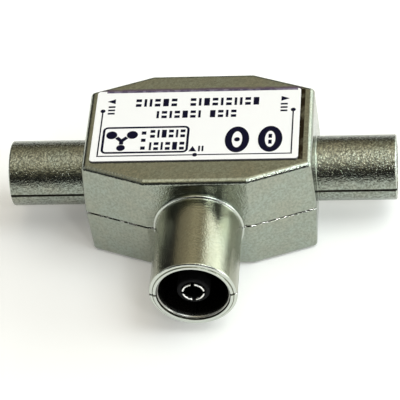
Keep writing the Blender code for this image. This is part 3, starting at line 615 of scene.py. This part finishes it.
def front_contact(material):
    """Split centre contact with a tapered hole and thin rounded lips."""
    node = "socket_contact"
    low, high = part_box(node)
    tip = -low.y
    tail = -high.y
    slot_end = tip - CONTACT_SLOT_LENGTH
    hole_end = slot_end - CONTACT_RADIUS
    shank = BODY_HALF_Y - FLANGE_SETBACK - FLANGE_LENGTH - COLLAR_LENGTH - FIT
    lip = CONTACT_LAND / 2
    profile = [(0, hole_end), (CONTACT_HOLE, hole_end), (CONTACT_HOLE, tip - CONTACT_TAPER)]
    for k in range(TIP_STEPS + 1):
        angle = math.pi * k / TIP_STEPS
        profile.append((CONTACT_RADIUS - lip - lip * math.cos(angle), tip - lip + lip * math.sin(angle)))
    profile += [(CONTACT_RADIUS, shank), (TAIL_RADIUS, shank), (TAIL_RADIUS, tail), (0, tail)]
    piece = new_object("front_contact", turned(profile, INSERT_STEPS, SOCKET.place))
    reach = CONTACT_RADIUS * 2
    cutter = blades(
        "contact_slots", SOCKET.place, CONTACT_SLOTS, CONTACT_SLOT, slot_end, tip + WALL, reach, 0
    )
    combine(piece, cutter, "DIFFERENCE")
    bake(piece, [cutter])
    finish_piece(piece, material, "plated_contact", node)


def grip_sleeve(material):
    """Slotted spring sleeve with a waist and a flared front edge."""
    node = "socket_spring_sleeve"
    low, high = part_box(node)
    front = -low.y
    back = -high.y
    length = front - back
    outer = high.x
    outside = []
    for k in range(SLEEVE_STEPS + 1):
        share = k / SLEEVE_STEPS
        waist = SLEEVE_WAIST * math.sin(math.pi * share) ** 2
        outside.append((outer - waist, front - length * share))
    inside = []
    for radius, height in reversed(outside):
        if height < front - SLEEVE_LEAD:
            inside.append((radius - SLEEVE_THICKNESS, height))
    for inward, up in reversed(list(arc(RIM_STEPS))[1:]):
        inside.append((outer - SLEEVE_THICKNESS * up, front - SLEEVE_LEAD * inward))
    piece = new_object("grip_sleeve", turned(outside + inside, INSERT_STEPS, SOCKET.place))
    slot_low, slot_high = (back + length * share for share in SLEEVE_SLOT_SPAN)
    turn = math.pi / SLEEVE_SLOTS
    cutter = blades(
        "sleeve_slots", SOCKET.place, SLEEVE_SLOTS, SLEEVE_SLOT, slot_low, slot_high, SOCKET_BORE, turn
    )
    combine(piece, cutter, "DIFFERENCE")
    bake(piece, [cutter])
    finish_piece(piece, material, "spring_bronze", node)


# Label


def label_plate(material):
    """White plate with eased edges, a little under the CAD label's top to leave room for the ink."""
    low, high = LABEL_BOX
    centre = (low + high) / 2
    half_x = (high.x - low.x) / 2
    half_y = (high.y - low.y) / 2
    top = high.z - INK_THICKNESS

    def section(inset, z):
        x, y = half_x - inset, half_y - inset
        corners = [(x, y), (-x, y), (-x, -y), (x, -y)]
        return [(centre.x + u, centre.y + v, z) for u, v in rounded(corners, LABEL_CORNER - inset)]

    sections = [section(0, low.z)]
    for inward, up in arc(SMALL_STEPS):
        sections.append(section(LABEL_EDGE * inward, top - LABEL_EDGE * (1 - up)))
    piece = new_object("label_plate", lofted(sections))
    weigh_normals(piece)
    finish_piece(piece, material, "label_film", "label")


class Print:
    """Flat ink shapes on the label, in millimetres from its centre."""

    def __init__(self):
        low, high = LABEL_BOX
        self.bm = bmesh.new()
        self.centre = (low + high) / 2
        self.low = high.z - INK_THICKNESS - INK_SINK
        self.high = high.z

    def placed(self, outline, z):
        """An outline at a height, in metres."""
        return [(self.centre.x + u * MM, self.centre.y + v * MM, z) for u, v in outline]

    def shape(self, outline):
        """A filled outline."""
        loft(self.bm, [self.placed(outline, z) for z in (self.low, self.high)])

    def band(self, outside, inside):
        """The strip between two outlines with equal numbers of points."""
        rings = []
        edges = ((outside, self.low), (outside, self.high), (inside, self.high), (inside, self.low))
        for outline, z in edges:
            rings.append([self.bm.verts.new(point) for point in self.placed(outline, z)])
        for ring, following in zip(rings, rings[1:] + rings[:1]):
            bridge(self.bm, ring, following)

    def bar(self, left, bottom, right, top):
        """An upright rectangle."""
        self.shape([(left, bottom), (right, bottom), (right, top), (left, top)])

    def bar_at(self, x, y, half_width, half_height):
        """An upright rectangle round a point."""
        self.bar(x - half_width, y - half_height, x + half_width, y + half_height)

    def disc(self, x, y, radius):
        """A filled circle."""
        self.shape(oval(x, y, radius, radius))

    def ring(self, x, y, half_width, half_height, line):
        """An oval drawn with a broad line."""
        inside = oval(x, y, half_width - line, half_height - line)
        self.band(oval(x, y, half_width, half_height), inside)

    def box(self, left, bottom, right, top, line, corner):
        """A box with rounded corners, drawn with a line."""
        outside = [(right, top), (left, top), (left, bottom), (right, bottom)]
        inside = [(right - line, top - line), (left + line, top - line)]
        inside += [(left + line, bottom + line), (right - line, bottom + line)]
        self.band(rounded(outside, corner), rounded(inside, corner / 2))

    def row(self, left, bottom, height, line, marks):
        """A row of marks, where the real label has a line of print."""
        for mark in marks:
            width = line if mark == "s" else line * BLOCK_WIDTH
            if mark == "p":
                self.bar(left, bottom, left + width, bottom + height * PAIR_LOW)
                self.bar(left, bottom + height * PAIR_HIGH, left + width, bottom + height)
            else:
                self.bar(left, bottom, left + width, bottom + height)
            left += width + line * MARK_GAP


def oval(x, y, half_width, half_height):
    """Points round an oval."""
    angles = [math.tau * k / OVAL_STEPS for k in range(OVAL_STEPS)]
    return [(x + half_width * math.cos(angle), y + half_height * math.sin(angle)) for angle in angles]


def signal_path(ink):
    """Thin line from the input, at the bottom, to an output at each end, with a dot at each."""
    half = 0.1
    gap = 0.02
    dot = 0.36
    left, right, bottom, middle = -13.85, 13.95, -6.3, 0.2
    left_top, right_top = 3.1, 2.7
    ink.bar(left - half, bottom - half, left + half, left_top - dot - gap)
    ink.bar(right - half, bottom - half, right + half, right_top - dot - gap)
    ink.bar(left + half + gap, bottom - half, middle - dot - gap, bottom + half)
    ink.bar(middle + dot + gap, bottom - half, right - half - gap, bottom + half)
    for x, y in ((left, left_top), (right, right_top), (middle, bottom)):
        ink.disc(x, y, dot)


def port_marks(ink):
    """Arrows to the outputs, each over three short strokes, and one from the input beside two."""
    column, arrow_y = 12.6, 5.1
    point, heel, half = 0.75, 0.45, 0.5
    for side in (-1, 1):
        x = side * column
        end = x - side * heel
        arrow = [(x + side * point, arrow_y), (end, arrow_y + half), (end, arrow_y - half)]
        ink.shape(arrow[::-side])
        for y in (3.95, 3.25, 2.55):
            ink.bar_at(x, y, half_width=0.5, half_height=0.17)
    x, bottom, top, half = -0.2, -5.6, -4.5, 0.55
    ink.shape([(x, top), (x - half, bottom), (x + half, bottom)])
    for x in (0.75, 1.25):
        ink.bar_at(x, (bottom + top) / 2, half_width=0.13, half_height=(top - bottom) / 2)


def framed_marks(ink):
    """Frame with a pictogram of one line that splits into two, beside small rows of marks."""
    ink.box(left=-13.45, bottom=-5.8, right=-0.85, top=-0.3, line=0.35, corner=0.8)
    x, y = -10.6, -3.35
    ink.disc(x, y - 1.3, radius=0.62)
    for side in (-1, 1):
        ink.disc(x + side * 1.5, y + 1.35, radius=0.8)
    arm = [(0.3, -0.6), (0.3, 0.0), (0.95, 0.65), (0.54, 1.06)]
    fork = arm + [(0.0, 0.52)] + [(-u, v) for u, v in reversed(arm)]
    ink.shape([(x + u, y + v) for u, v in fork])
    for y in (-1.65, -3.15, -4.75):
        ink.bar_at(-7.425, y, half_width=0.325, half_height=0.32)
    for row in FRAMED_ROWS:
        ink.row(*row)


def port_rings(ink):
    """A bold ring for each kind of port: one with a pin and one with a split contact."""
    pin_x, contact_x, y = 6.1, 10.85, -3.3
    for x in (pin_x, contact_x):
        ink.ring(x, y, half_width=1.75, half_height=2.65, line=1.0)
    ink.disc(pin_x, y, radius=0.42)
    for side in (-1, 1):
        ink.bar_at(contact_x, y + side * 0.6, half_width=0.25, half_height=0.4)


def label_print(material):
    """Signal path, marks at the ports, a framed pictogram, rows of marks and two bold rings."""
    ink = Print()
    signal_path(ink)
    port_marks(ink)
    framed_marks(ink)
    for row in TITLE_ROWS:
        ink.row(*row)
    port_rings(ink)
    finish_piece(new_object("label_print", ink.bm), material, "label_film")


# Materials


class Shader:
    """A Principled material and short names for the nodes that feed it."""

    # A Mix node gives its number, vector and colour sockets the same names, so the colour ones go by number
    COLOUR_SOCKETS = (6, 7)
    COLOUR_RESULT = 2

    def __init__(self, name, **values):
        self.material = bpy.data.materials.new(name)
        self.material.use_nodes = True
        self.nodes = self.material.node_tree.nodes
        self.links = self.material.node_tree.links
        self.surface = self.nodes["Principled BSDF"]
        for socket, value in values.items():
            self.surface.inputs[socket.replace("_", " ")].default_value = value
        self.coordinates = self.nodes.new("ShaderNodeTexCoord").outputs["Object"]

    def noise(self, size, detail=3.0, roughness=0.55):
        """Noise whose features are about as wide as size."""
        node = self.nodes.new("ShaderNodeTexNoise")
        node.inputs["Scale"].default_value = 1 / size
        node.inputs["Detail"].default_value = detail
        node.inputs["Roughness"].default_value = roughness
        self.links.new(self.coordinates, node.inputs["Vector"])
        return node.outputs["Fac"]

    def split(self, vector):
        """The three parts of a vector."""
        parts = self.nodes.new("ShaderNodeSeparateXYZ")
        self.links.new(vector, parts.inputs["Vector"])
        return parts.outputs

    def place(self):
        """Place on the object along X, Y and Z."""
        return self.split(self.coordinates)

    def facing(self, axis, sign):
        """1 where the surface faces along an axis, falling to 0 where it is turned well away."""
        normal = self.nodes.new("ShaderNodeTexCoord").outputs["Normal"]
        return self.remap(self.split(normal)[axis], sign * 0.3, sign * 0.8, 0, 1)

    def seen(self):
        """1 for rays from the camera and for rays mirrored or let through by the object, else 0."""
        path = self.nodes.new("ShaderNodeLightPath")
        rays = [path.outputs[f"Is {word} Ray"] for word in ("Camera", "Glossy", "Transmission")]
        return self.largest(*rays)

    def between(self, value, low, high, soft):
        """1 between two values, falling to 0 outside them."""
        rise = self.remap(value, low - soft, low, 0, 1)
        fall = self.remap(value, high, high + soft, 1, 0)
        return self.product(rise, fall)

    def product(self, *values):
        """The values multiplied."""
        return self.fold("MULTIPLY", values)

    def largest(self, *values):
        """The largest of the values."""
        return self.fold("MAXIMUM", values)

    def fold(self, operation, values):
        """Combine values one after the other."""
        total = values[0]
        for value in values[1:]:
            node = self.nodes.new("ShaderNodeMath")
            node.operation = operation
            self.links.new(total, node.inputs[0])
            self.links.new(value, node.inputs[1])
            total = node.outputs[0]
        return total

    def remap(self, value, low, high, out_low, out_high):
        """Map a range of values to another, without overshoot."""
        node = self.nodes.new("ShaderNodeMapRange")
        sockets = ("From Min", "From Max", "To Min", "To Max")
        for socket, number in zip(sockets, (low, high, out_low, out_high)):
            node.inputs[socket].default_value = number
        self.links.new(value, node.inputs["Value"])
        return node.outputs["Result"]

    def mix(self, share, first, second):
        """Blend two colours."""
        node = self.nodes.new("ShaderNodeMix")
        node.data_type = "RGBA"
        self.links.new(share, node.inputs["Factor"])
        for socket, colour in zip(self.COLOUR_SOCKETS, (first, second)):
            if isinstance(colour, tuple):
                node.inputs[socket].default_value = (*colour, 1.0)
            else:
                self.links.new(colour, node.inputs[socket])
        return node.outputs[self.COLOUR_RESULT]

    def bump(self, height, distance, under=None):
        """Relief from a height map, over another relief."""
        node = self.nodes.new("ShaderNodeBump")
        node.inputs["Distance"].default_value = distance
        node.inputs["Strength"].default_value = 1.0
        self.links.new(height, node.inputs["Height"])
        if under is not None:
            self.links.new(under, node.inputs["Normal"])
        return node.outputs["Normal"]

    def feed(self, socket, value):
        """Link a value to a socket of the surface."""
        self.links.new(value, self.surface.inputs[socket])


def nickel_tints(shader, place, on_body):
    """Cool and warm clouds with darker specks and a browner socket; the specks are darkest on the end tubes
    as painted shade.
    """
    cool, warm, brown = (0.35, 0.395, 0.345), (0.36, 0.375, 0.31), (0.35, 0.34, 0.245)
    # The darker specks on the end tubes are painted shade.
    arm_speck_and_shade, body_speck = (0.15, 0.16, 0.13), (0.275, 0.30, 0.25)
    cloud = shader.noise(3.5 * MM, roughness=0.6)
    speckle = shader.noise(0.36 * MM, detail=2.0, roughness=0.6)
    clean = shader.mix(shader.remap(cloud, 0.38, 0.62, 0, 1), cool, warm)
    speck_and_arm_shade = shader.mix(on_body, arm_speck_and_shade, body_speck)
    mottled = shader.mix(shader.remap(speckle, 0.38, 0.66, 0, 1), clean, speck_and_arm_shade)
    root = -BODY_HALF_Y - SHOULDER_RISE
    on_socket = shader.remap(place["Y"], root, root - SHOULDER_RISE, 0, 0.55)
    return shader.mix(on_socket, mottled, brown)


def bright_rims(shader, place, plated):
    """Painted highlights: lighter metal on the socket's shoulder and at the mouths of the three tubes."""
    # This lighter rim colour is a painted highlight.
    painted_highlight = (0.56, 0.59, 0.54)
    shoulder = shader.between(place["Y"], -BODY_HALF_Y - SHOULDER_RISE, -BODY_HALF_Y - FIT, FIT / 2)
    rim = shader.product(shoulder, shader.between(place["X"], -SOCKET_RADIUS * 1.2, SOCKET_RADIUS * 1.2, FIT))
    for axis, end, sign in (("Y", -SOCKET_MOUTH, -1), ("X", -PLUG_MOUTH, -1), ("X", PLUG_MOUTH, 1)):
        highlight_reach = sign * RIM_HIGHLIGHT
        near_end = shader.remap(place[axis], end - highlight_reach, end - highlight_reach * 0.7, 0, 1)
        rim = shader.largest(rim, shader.product(near_end, shader.facing(axis, sign)))
    return shader.mix(rim, plated, painted_highlight)


def label_shade(shader, place, wave, plated):
    """Uneven painted shade on the top face: violet behind the label and brown at its right."""
    # Both colours are painted shade along the label's edges.
    violet, brown = (0.21, 0.18, 0.28), (0.03, 0.024, 0.014)
    low, high = LABEL_BOX
    on_top = shader.remap(place["Z"], low.z - SEAM_SHADE, low.z - SEAM_SHADE / 2, 0, 1)
    uneven = shader.product(on_top, shader.remap(wave, 0.36, 0.48, 0.55, 1))
    behind = shader.between(place["Y"], high.y, high.y + SHADE_BEHIND_LABEL, SHADE_BEHIND_LABEL / 2)
    behind = shader.product(behind, shader.between(place["X"], low.x + LABEL_CORNER, high.x, FIT))
    beside = shader.between(place["X"], high.x, high.x + SHADE_BESIDE_LABEL, FIT)
    beside = shader.product(beside, shader.between(place["Y"], low.y, high.y, FIT))
    plated = shader.mix(shader.product(behind, uneven), plated, violet)
    return shader.mix(shader.product(beside, uneven), plated, brown)


def seam_shade_and_glints(shader, place, on_body, nicks_and_glints, plated):
    """Painted shade in the parting line, broader on the end tubes and broken on the body by painted
    highlights at the nicks.
    """
    # The dark seam colour is painted shade, and the light one at the nicks is a painted highlight.
    seam_shade_tone, glint = (0.035, 0.035, 0.03), (0.85, 0.85, 0.82)
    joint, broad = (
        shader.between(place["Z"], PART_Z - half, PART_Z + half, SEAM_SHADE / 3)
        for half in (SEAM_SHADE, ARM_SEAM_SHADE)
    )
    on_arm = shader.remap(on_body, 0, 1, 1, 0)
    joint = shader.largest(joint, shader.product(broad, on_arm))
    return shader.mix(joint, plated, shader.mix(nicks_and_glints, seam_shade_tone, glint))


def cast_nickel():
    """Satin nickel over a tumbled casting: grain, cloudy tints, painted shade round the label and in the
    seam, an uneven seam with painted highlights at its nicks, and rims with painted highlights.
    """
    shader = Shader("cast_nickel", Metallic=1.0)
    place = shader.place()
    grain = shader.noise(0.26 * MM, detail=2.0, roughness=0.6)
    wave = shader.noise(1.6 * MM, detail=2.0, roughness=0.5)
    chips = shader.noise(0.7 * MM, detail=1.0)
    on_body = shader.between(place["X"], -BODY_HALF_X, BODY_HALF_X, FIT)
    nicks_and_glints = shader.product(shader.remap(chips, 0.5, 0.56, 0, 1), on_body)

    plated = nickel_tints(shader, place, on_body)
    plated = bright_rims(shader, place, plated)
    plated = label_shade(shader, place, wave, plated)
    shader.feed("Base Color", seam_shade_and_glints(shader, place, on_body, nicks_and_glints, plated))
    gloss = shader.remap(wave, 0.3, 0.7, 0.14, 0.20)
    shader.feed("Roughness", shader.product(gloss, shader.remap(on_body, 0, 1, 0.75, 1)))

    seam = shader.between(place["Z"], PART_Z - SEAM_CHAMFER, PART_Z + SEAM_CHAMFER, 2 * SEAM_CHAMFER)
    fine = shader.product(grain, shader.remap(on_body, 0, 1, 1, 0.38))
    relief = shader.bump(wave, 0.02 * MM)
    relief = shader.bump(shader.product(seam, nicks_and_glints), 0.07 * MM, relief)
    shader.feed("Normal", shader.bump(fine, 0.08 * MM, relief))
    return shader.material


def bright_contact():
    """Tin-plated turned metal with faint tool marks: bright pins, and a contact darkened behind its tip as
    painted shade.
    """
    shader = Shader("bright_contact", Metallic=1.0)
    marks = shader.noise(0.08 * MM, detail=2.0)
    bright = shader.mix(shader.noise(0.6 * MM), (0.88, 0.88, 0.86), (0.80, 0.79, 0.76))
    # The dark tone behind the tip is painted shade inside the socket.
    painted_shade = (0.10, 0.095, 0.08)
    along = shader.place()["Y"]
    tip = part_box("socket_contact")[0].y
    behind_tip = shader.remap(along, tip + CONTACT_LAND, tip + CONTACT_LAND * 1.6, 0, 1)
    in_socket = shader.remap(along, -BODY_HALF_Y, -BODY_HALF_Y + WALL, 1, 0)
    shader.feed("Base Color", shader.mix(shader.product(behind_tip, in_socket), bright, painted_shade))
    shader.feed("Roughness", shader.remap(marks, 0.3, 0.7, 0.16, 0.26))
    shader.feed("Normal", shader.bump(marks, 0.003 * MM))
    return shader.material


def sleeve_bronze():
    """Nickel-plated spring strip, brighter at its front edge and darkened inside the socket as painted shade.
    """
    shader = Shader("sleeve_bronze", Metallic=1.0)
    marks = shader.noise(0.1 * MM, detail=2.0)
    bright = (0.36, 0.36, 0.33)
    # The dark tone inside the socket is painted shade.
    painted_shade = shader.mix(shader.noise(0.8 * MM), (0.14, 0.13, 0.10), (0.10, 0.09, 0.07))
    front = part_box("socket_spring_sleeve")[0].y
    inside = shader.remap(shader.place()["Y"], front + SLEEVE_LEAD, front + SLEEVE_LEAD * 1.4, 0, 1)
    shader.feed("Base Color", shader.mix(inside, bright, painted_shade))
    shader.feed("Roughness", shader.remap(marks, 0.3, 0.7, 0.20, 0.32))
    shader.feed("Normal", shader.bump(marks, 0.004 * MM))
    return shader.material


def black_moulding():
    """Black plastic with a fine moulded texture."""
    shader = Shader("black_moulding", Specular_IOR_Level=0.12)
    texture = shader.noise(0.12 * MM, detail=2.0)
    tone = shader.mix(shader.noise(1.0 * MM), (0.003, 0.003, 0.004), (0.006, 0.006, 0.007))
    shader.feed("Base Color", tone)
    shader.feed("Roughness", shader.remap(texture, 0.3, 0.7, 0.6, 0.75))
    shader.feed("Normal", shader.bump(texture, 0.006 * MM))
    return shader.material


def white_film():
    """Printed white film with a slight orange-peel gloss, painted shade on its side faces and a violet strip
    of painted shade along its back edge.
    """
    shader = Shader("white_film")
    place = shader.place()
    low, high = LABEL_BOX
    peel = shader.noise(0.5 * MM, detail=2.0)
    # The dark side faces and the violet strip at the back are painted shade.
    edge_shade = (0.10, 0.09, 0.10)
    white = shader.mix(shader.noise(3.0 * MM), (0.93, 0.93, 0.94), (0.90, 0.90, 0.92))
    patchy = shader.remap(shader.noise(0.9 * MM), 0.42, 0.60, 0, 1)
    violet = shader.mix(patchy, (0.05, 0.035, 0.09), (0.19, 0.16, 0.24))
    at_back = shader.between(place["Y"], high.y - BACK_SHADE_DEPTH, high.y, FIT / 2)
    shade_along = shader.between(place["X"], low.x + BACK_SHADE_FROM_LEFT, high.x - LABEL_CORNER, FIT)
    face = shader.mix(shader.product(at_back, shade_along), white, violet)
    shader.feed("Base Color", shader.mix(shader.facing("Z", 1), edge_shade, face))
    shader.feed("Roughness", shader.remap(peel, 0.3, 0.7, 0.38, 0.5))
    shader.feed("Normal", shader.bump(peel, 0.002 * MM))
    return shader.material


def navy_ink():
    """Dark blue-black ink, a little uneven."""
    shader = Shader("navy_ink", Specular_IOR_Level=0.05)
    speckle = shader.noise(0.15 * MM, detail=2.0)
    shader.feed("Base Color", shader.mix(speckle, (0.003, 0.003, 0.012), (0.006, 0.005, 0.024)))
    shader.feed("Roughness", shader.remap(speckle, 0.3, 0.7, 0.45, 0.6))
    return shader.material


def plain_coat(name, light, dark, size, rough, metallic=0.0, relief=0.006):
    """Coating of an inner part: two tones, uneven gloss and fine relief; size and relief in millimetres."""
    shader = Shader(name, Metallic=metallic)
    tone = shader.noise(size * MM)
    fine = shader.noise(size * MM / 4, detail=2.0)
    shader.feed("Base Color", shader.mix(shader.remap(tone, 0.35, 0.65, 0, 1), light, dark))
    shader.feed("Roughness", shader.remap(fine, 0.3, 0.7, rough - 0.06, rough + 0.06))
    shader.feed("Normal", shader.bump(fine, relief * MM))
    return shader.material


def dress_inner_parts():
    """Finishes of the CAD nodes inside the casting."""
    laminate = plain_coat("board_laminate", (0.44, 0.28, 0.12), (0.36, 0.22, 0.09), 1.2, 0.55)
    ferrite = plain_coat("ferrite", (0.10, 0.10, 0.105), (0.07, 0.07, 0.072), 0.4, 0.5, relief=0.012)
    enamel = plain_coat("enamelled_copper", (0.58, 0.22, 0.08), (0.48, 0.16, 0.05), 0.5, 0.28, 1.0)
    ceramic = plain_coat("capacitor_coating", (0.74, 0.44, 0.15), (0.66, 0.36, 0.11), 0.7, 0.45)
    lacquer = plain_coat("resistor_lacquer", (0.46, 0.63, 0.71), (0.40, 0.56, 0.65), 0.6, 0.35)
    strip = plain_coat("spring_strip", (0.66, 0.58, 0.45), (0.58, 0.50, 0.38), 0.6, 0.3, 1.0)
    coats = {
        "circuit_board": laminate,
        "splitter_core": ferrite,
        "matching_core": ferrite,
        "splitter_winding": enamel,
        "matching_winding": enamel,
        "isolation_resistor": lacquer,
        "left_capacitor": ceramic,
        "right_capacitor": ceramic,
        "input_capacitor": ceramic,
        "balance_capacitor": ceramic,
        "ground_spring": strip,
    }
    for node, material in coats.items():
        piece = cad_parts[node]
        piece.data.materials.clear()
        piece.data.materials.append(material)


# Studio


def add_camera():
    """Camera at the photograph's angle and distance."""
    level = math.cos(CAMERA_ELEVATION)
    back = Vector((math.sin(CAMERA_YAW) * level, -math.cos(CAMERA_YAW) * level, math.sin(CAMERA_ELEVATION)))
    level_right = Vector((math.cos(CAMERA_YAW), math.sin(CAMERA_YAW), 0))
    level_up = back.cross(level_right)
    right = math.cos(CAMERA_ROLL) * level_right + math.sin(CAMERA_ROLL) * level_up
    up = back.cross(right)
    camera = bpy.data.objects.new("camera", bpy.data.cameras.new("camera"))
    camera.data.lens = CAMERA_LENS
    camera.data.sensor_width = CAMERA_SENSOR
    camera.data.clip_start = 0.01
    camera.data.clip_end = 10
    place = back * CAMERA_DISTANCE + level_right * AIM_RIGHT + level_up * AIM_UP + Vector((0, 0, PART_Z))
    camera.matrix_world = Matrix.Translation(place) @ Matrix((right, up, back)).transposed().to_4x4()
    bpy.context.scene.collection.objects.link(camera)
    bpy.context.scene.camera = camera


def add_floor():
    """Pale floor a hair below the object, whiter where it is seen or mirrored, which keeps the shadow."""
    bm = bmesh.new()
    bmesh.ops.create_grid(bm, x_segments=1, y_segments=1, size=FLOOR_HALF)
    bmesh.ops.translate(bm, verts=bm.verts, vec=(0, 0, -FLOOR_GAP))
    floor = new_object("floor", bm)
    shader = Shader("floor_paint", Roughness=0.9, Specular_IOR_Level=0.1, Emission_Color=(1, 1, 1, 1))
    share = shader.seen()
    paint = shader.mix(shader.noise(40 * MM), (0.60, 0.60, 0.60), (0.58, 0.58, 0.58))
    shader.feed("Base Color", shader.mix(share, paint, (0.92, 0.92, 0.92)))
    shader.feed("Emission Strength", shader.remap(share, 0, 1, 0, FLOOR_LIFT))
    floor.data.materials.append(shader.material)


def direction(azimuth, elevation):
    """Unit vector; azimuth is anticlockwise from +X, in degrees."""
    a, e = math.radians(azimuth), math.radians(elevation)
    return Vector((math.cos(a) * math.cos(e), math.sin(a) * math.cos(e), math.sin(e)))


def add_lamp(name, azimuth, elevation, distance, width, height, power, colour):
    """Rectangular soft lamp that faces the object."""
    towards = direction(azimuth, elevation)
    lamp = bpy.data.objects.new(name, bpy.data.lights.new(name, "AREA"))
    lamp.data.shape = "RECTANGLE"
    lamp.data.size = width
    lamp.data.size_y = height
    lamp.data.energy = power
    lamp.data.color = colour
    lamp.location = towards * distance
    lamp.rotation_mode = "QUATERNION"
    lamp.rotation_quaternion = towards.to_track_quat("Z", "Y")
    bpy.context.scene.collection.objects.link(lamp)


def add_room(base, patches):
    """Dim room lit by soft patches."""
    world = bpy.data.worlds.new("studio")
    bpy.context.scene.world = world
    world.use_nodes = True
    nodes = world.node_tree.nodes
    links = world.node_tree.links
    view = nodes.new("ShaderNodeTexCoord").outputs["Generated"]
    total = None
    for azimuth, elevation, half_width, strength, colour in patches:
        dot = nodes.new("ShaderNodeVectorMath")
        dot.operation = "DOT_PRODUCT"
        dot.inputs[1].default_value = direction(azimuth, elevation)
        links.new(view, dot.inputs[0])
        ramp = nodes.new("ShaderNodeMapRange")
        ramp.interpolation_type = "SMOOTHSTEP"
        ramp.inputs["From Min"].default_value = math.cos(math.radians(half_width))
        ramp.inputs["From Max"].default_value = 1
        ramp.inputs["To Max"].default_value = strength
        links.new(dot.outputs["Value"], ramp.inputs["Value"])
        tint = nodes.new("ShaderNodeVectorMath")
        tint.operation = "MULTIPLY_ADD"
        links.new(ramp.outputs["Result"], tint.inputs[0])
        tint.inputs[1].default_value = colour
        if total is None:
            tint.inputs[2].default_value = base
        else:
            links.new(total, tint.inputs[2])
        total = tint.outputs["Vector"]
    links.new(total, nodes["Background"].inputs["Color"])


add_camera()
nickel = cast_nickel()
half_casting("upper_casting", UPPER_HEIGHT, 1, "upper_housing", nickel)
half_casting("lower_casting", LOWER_HEIGHT, -1, "lower_housing", nickel)
label_plate(white_film())
label_print(navy_ink())
moulding = black_moulding()
bright = bright_contact()
for word in ("left", "right"):
    plug_bush(word, moulding)
    plug_pin(word, bright)
socket_bush(moulding)
front_contact(bright)
grip_sleeve(sleeve_bronze())
dress_inner_parts()
add_floor()
add_room(ROOM_BASE, ROOM_PATCHES)
for settings in LAMPS:
    add_lamp(*settings)
bpy.context.scene.view_settings.view_transform = "Standard"
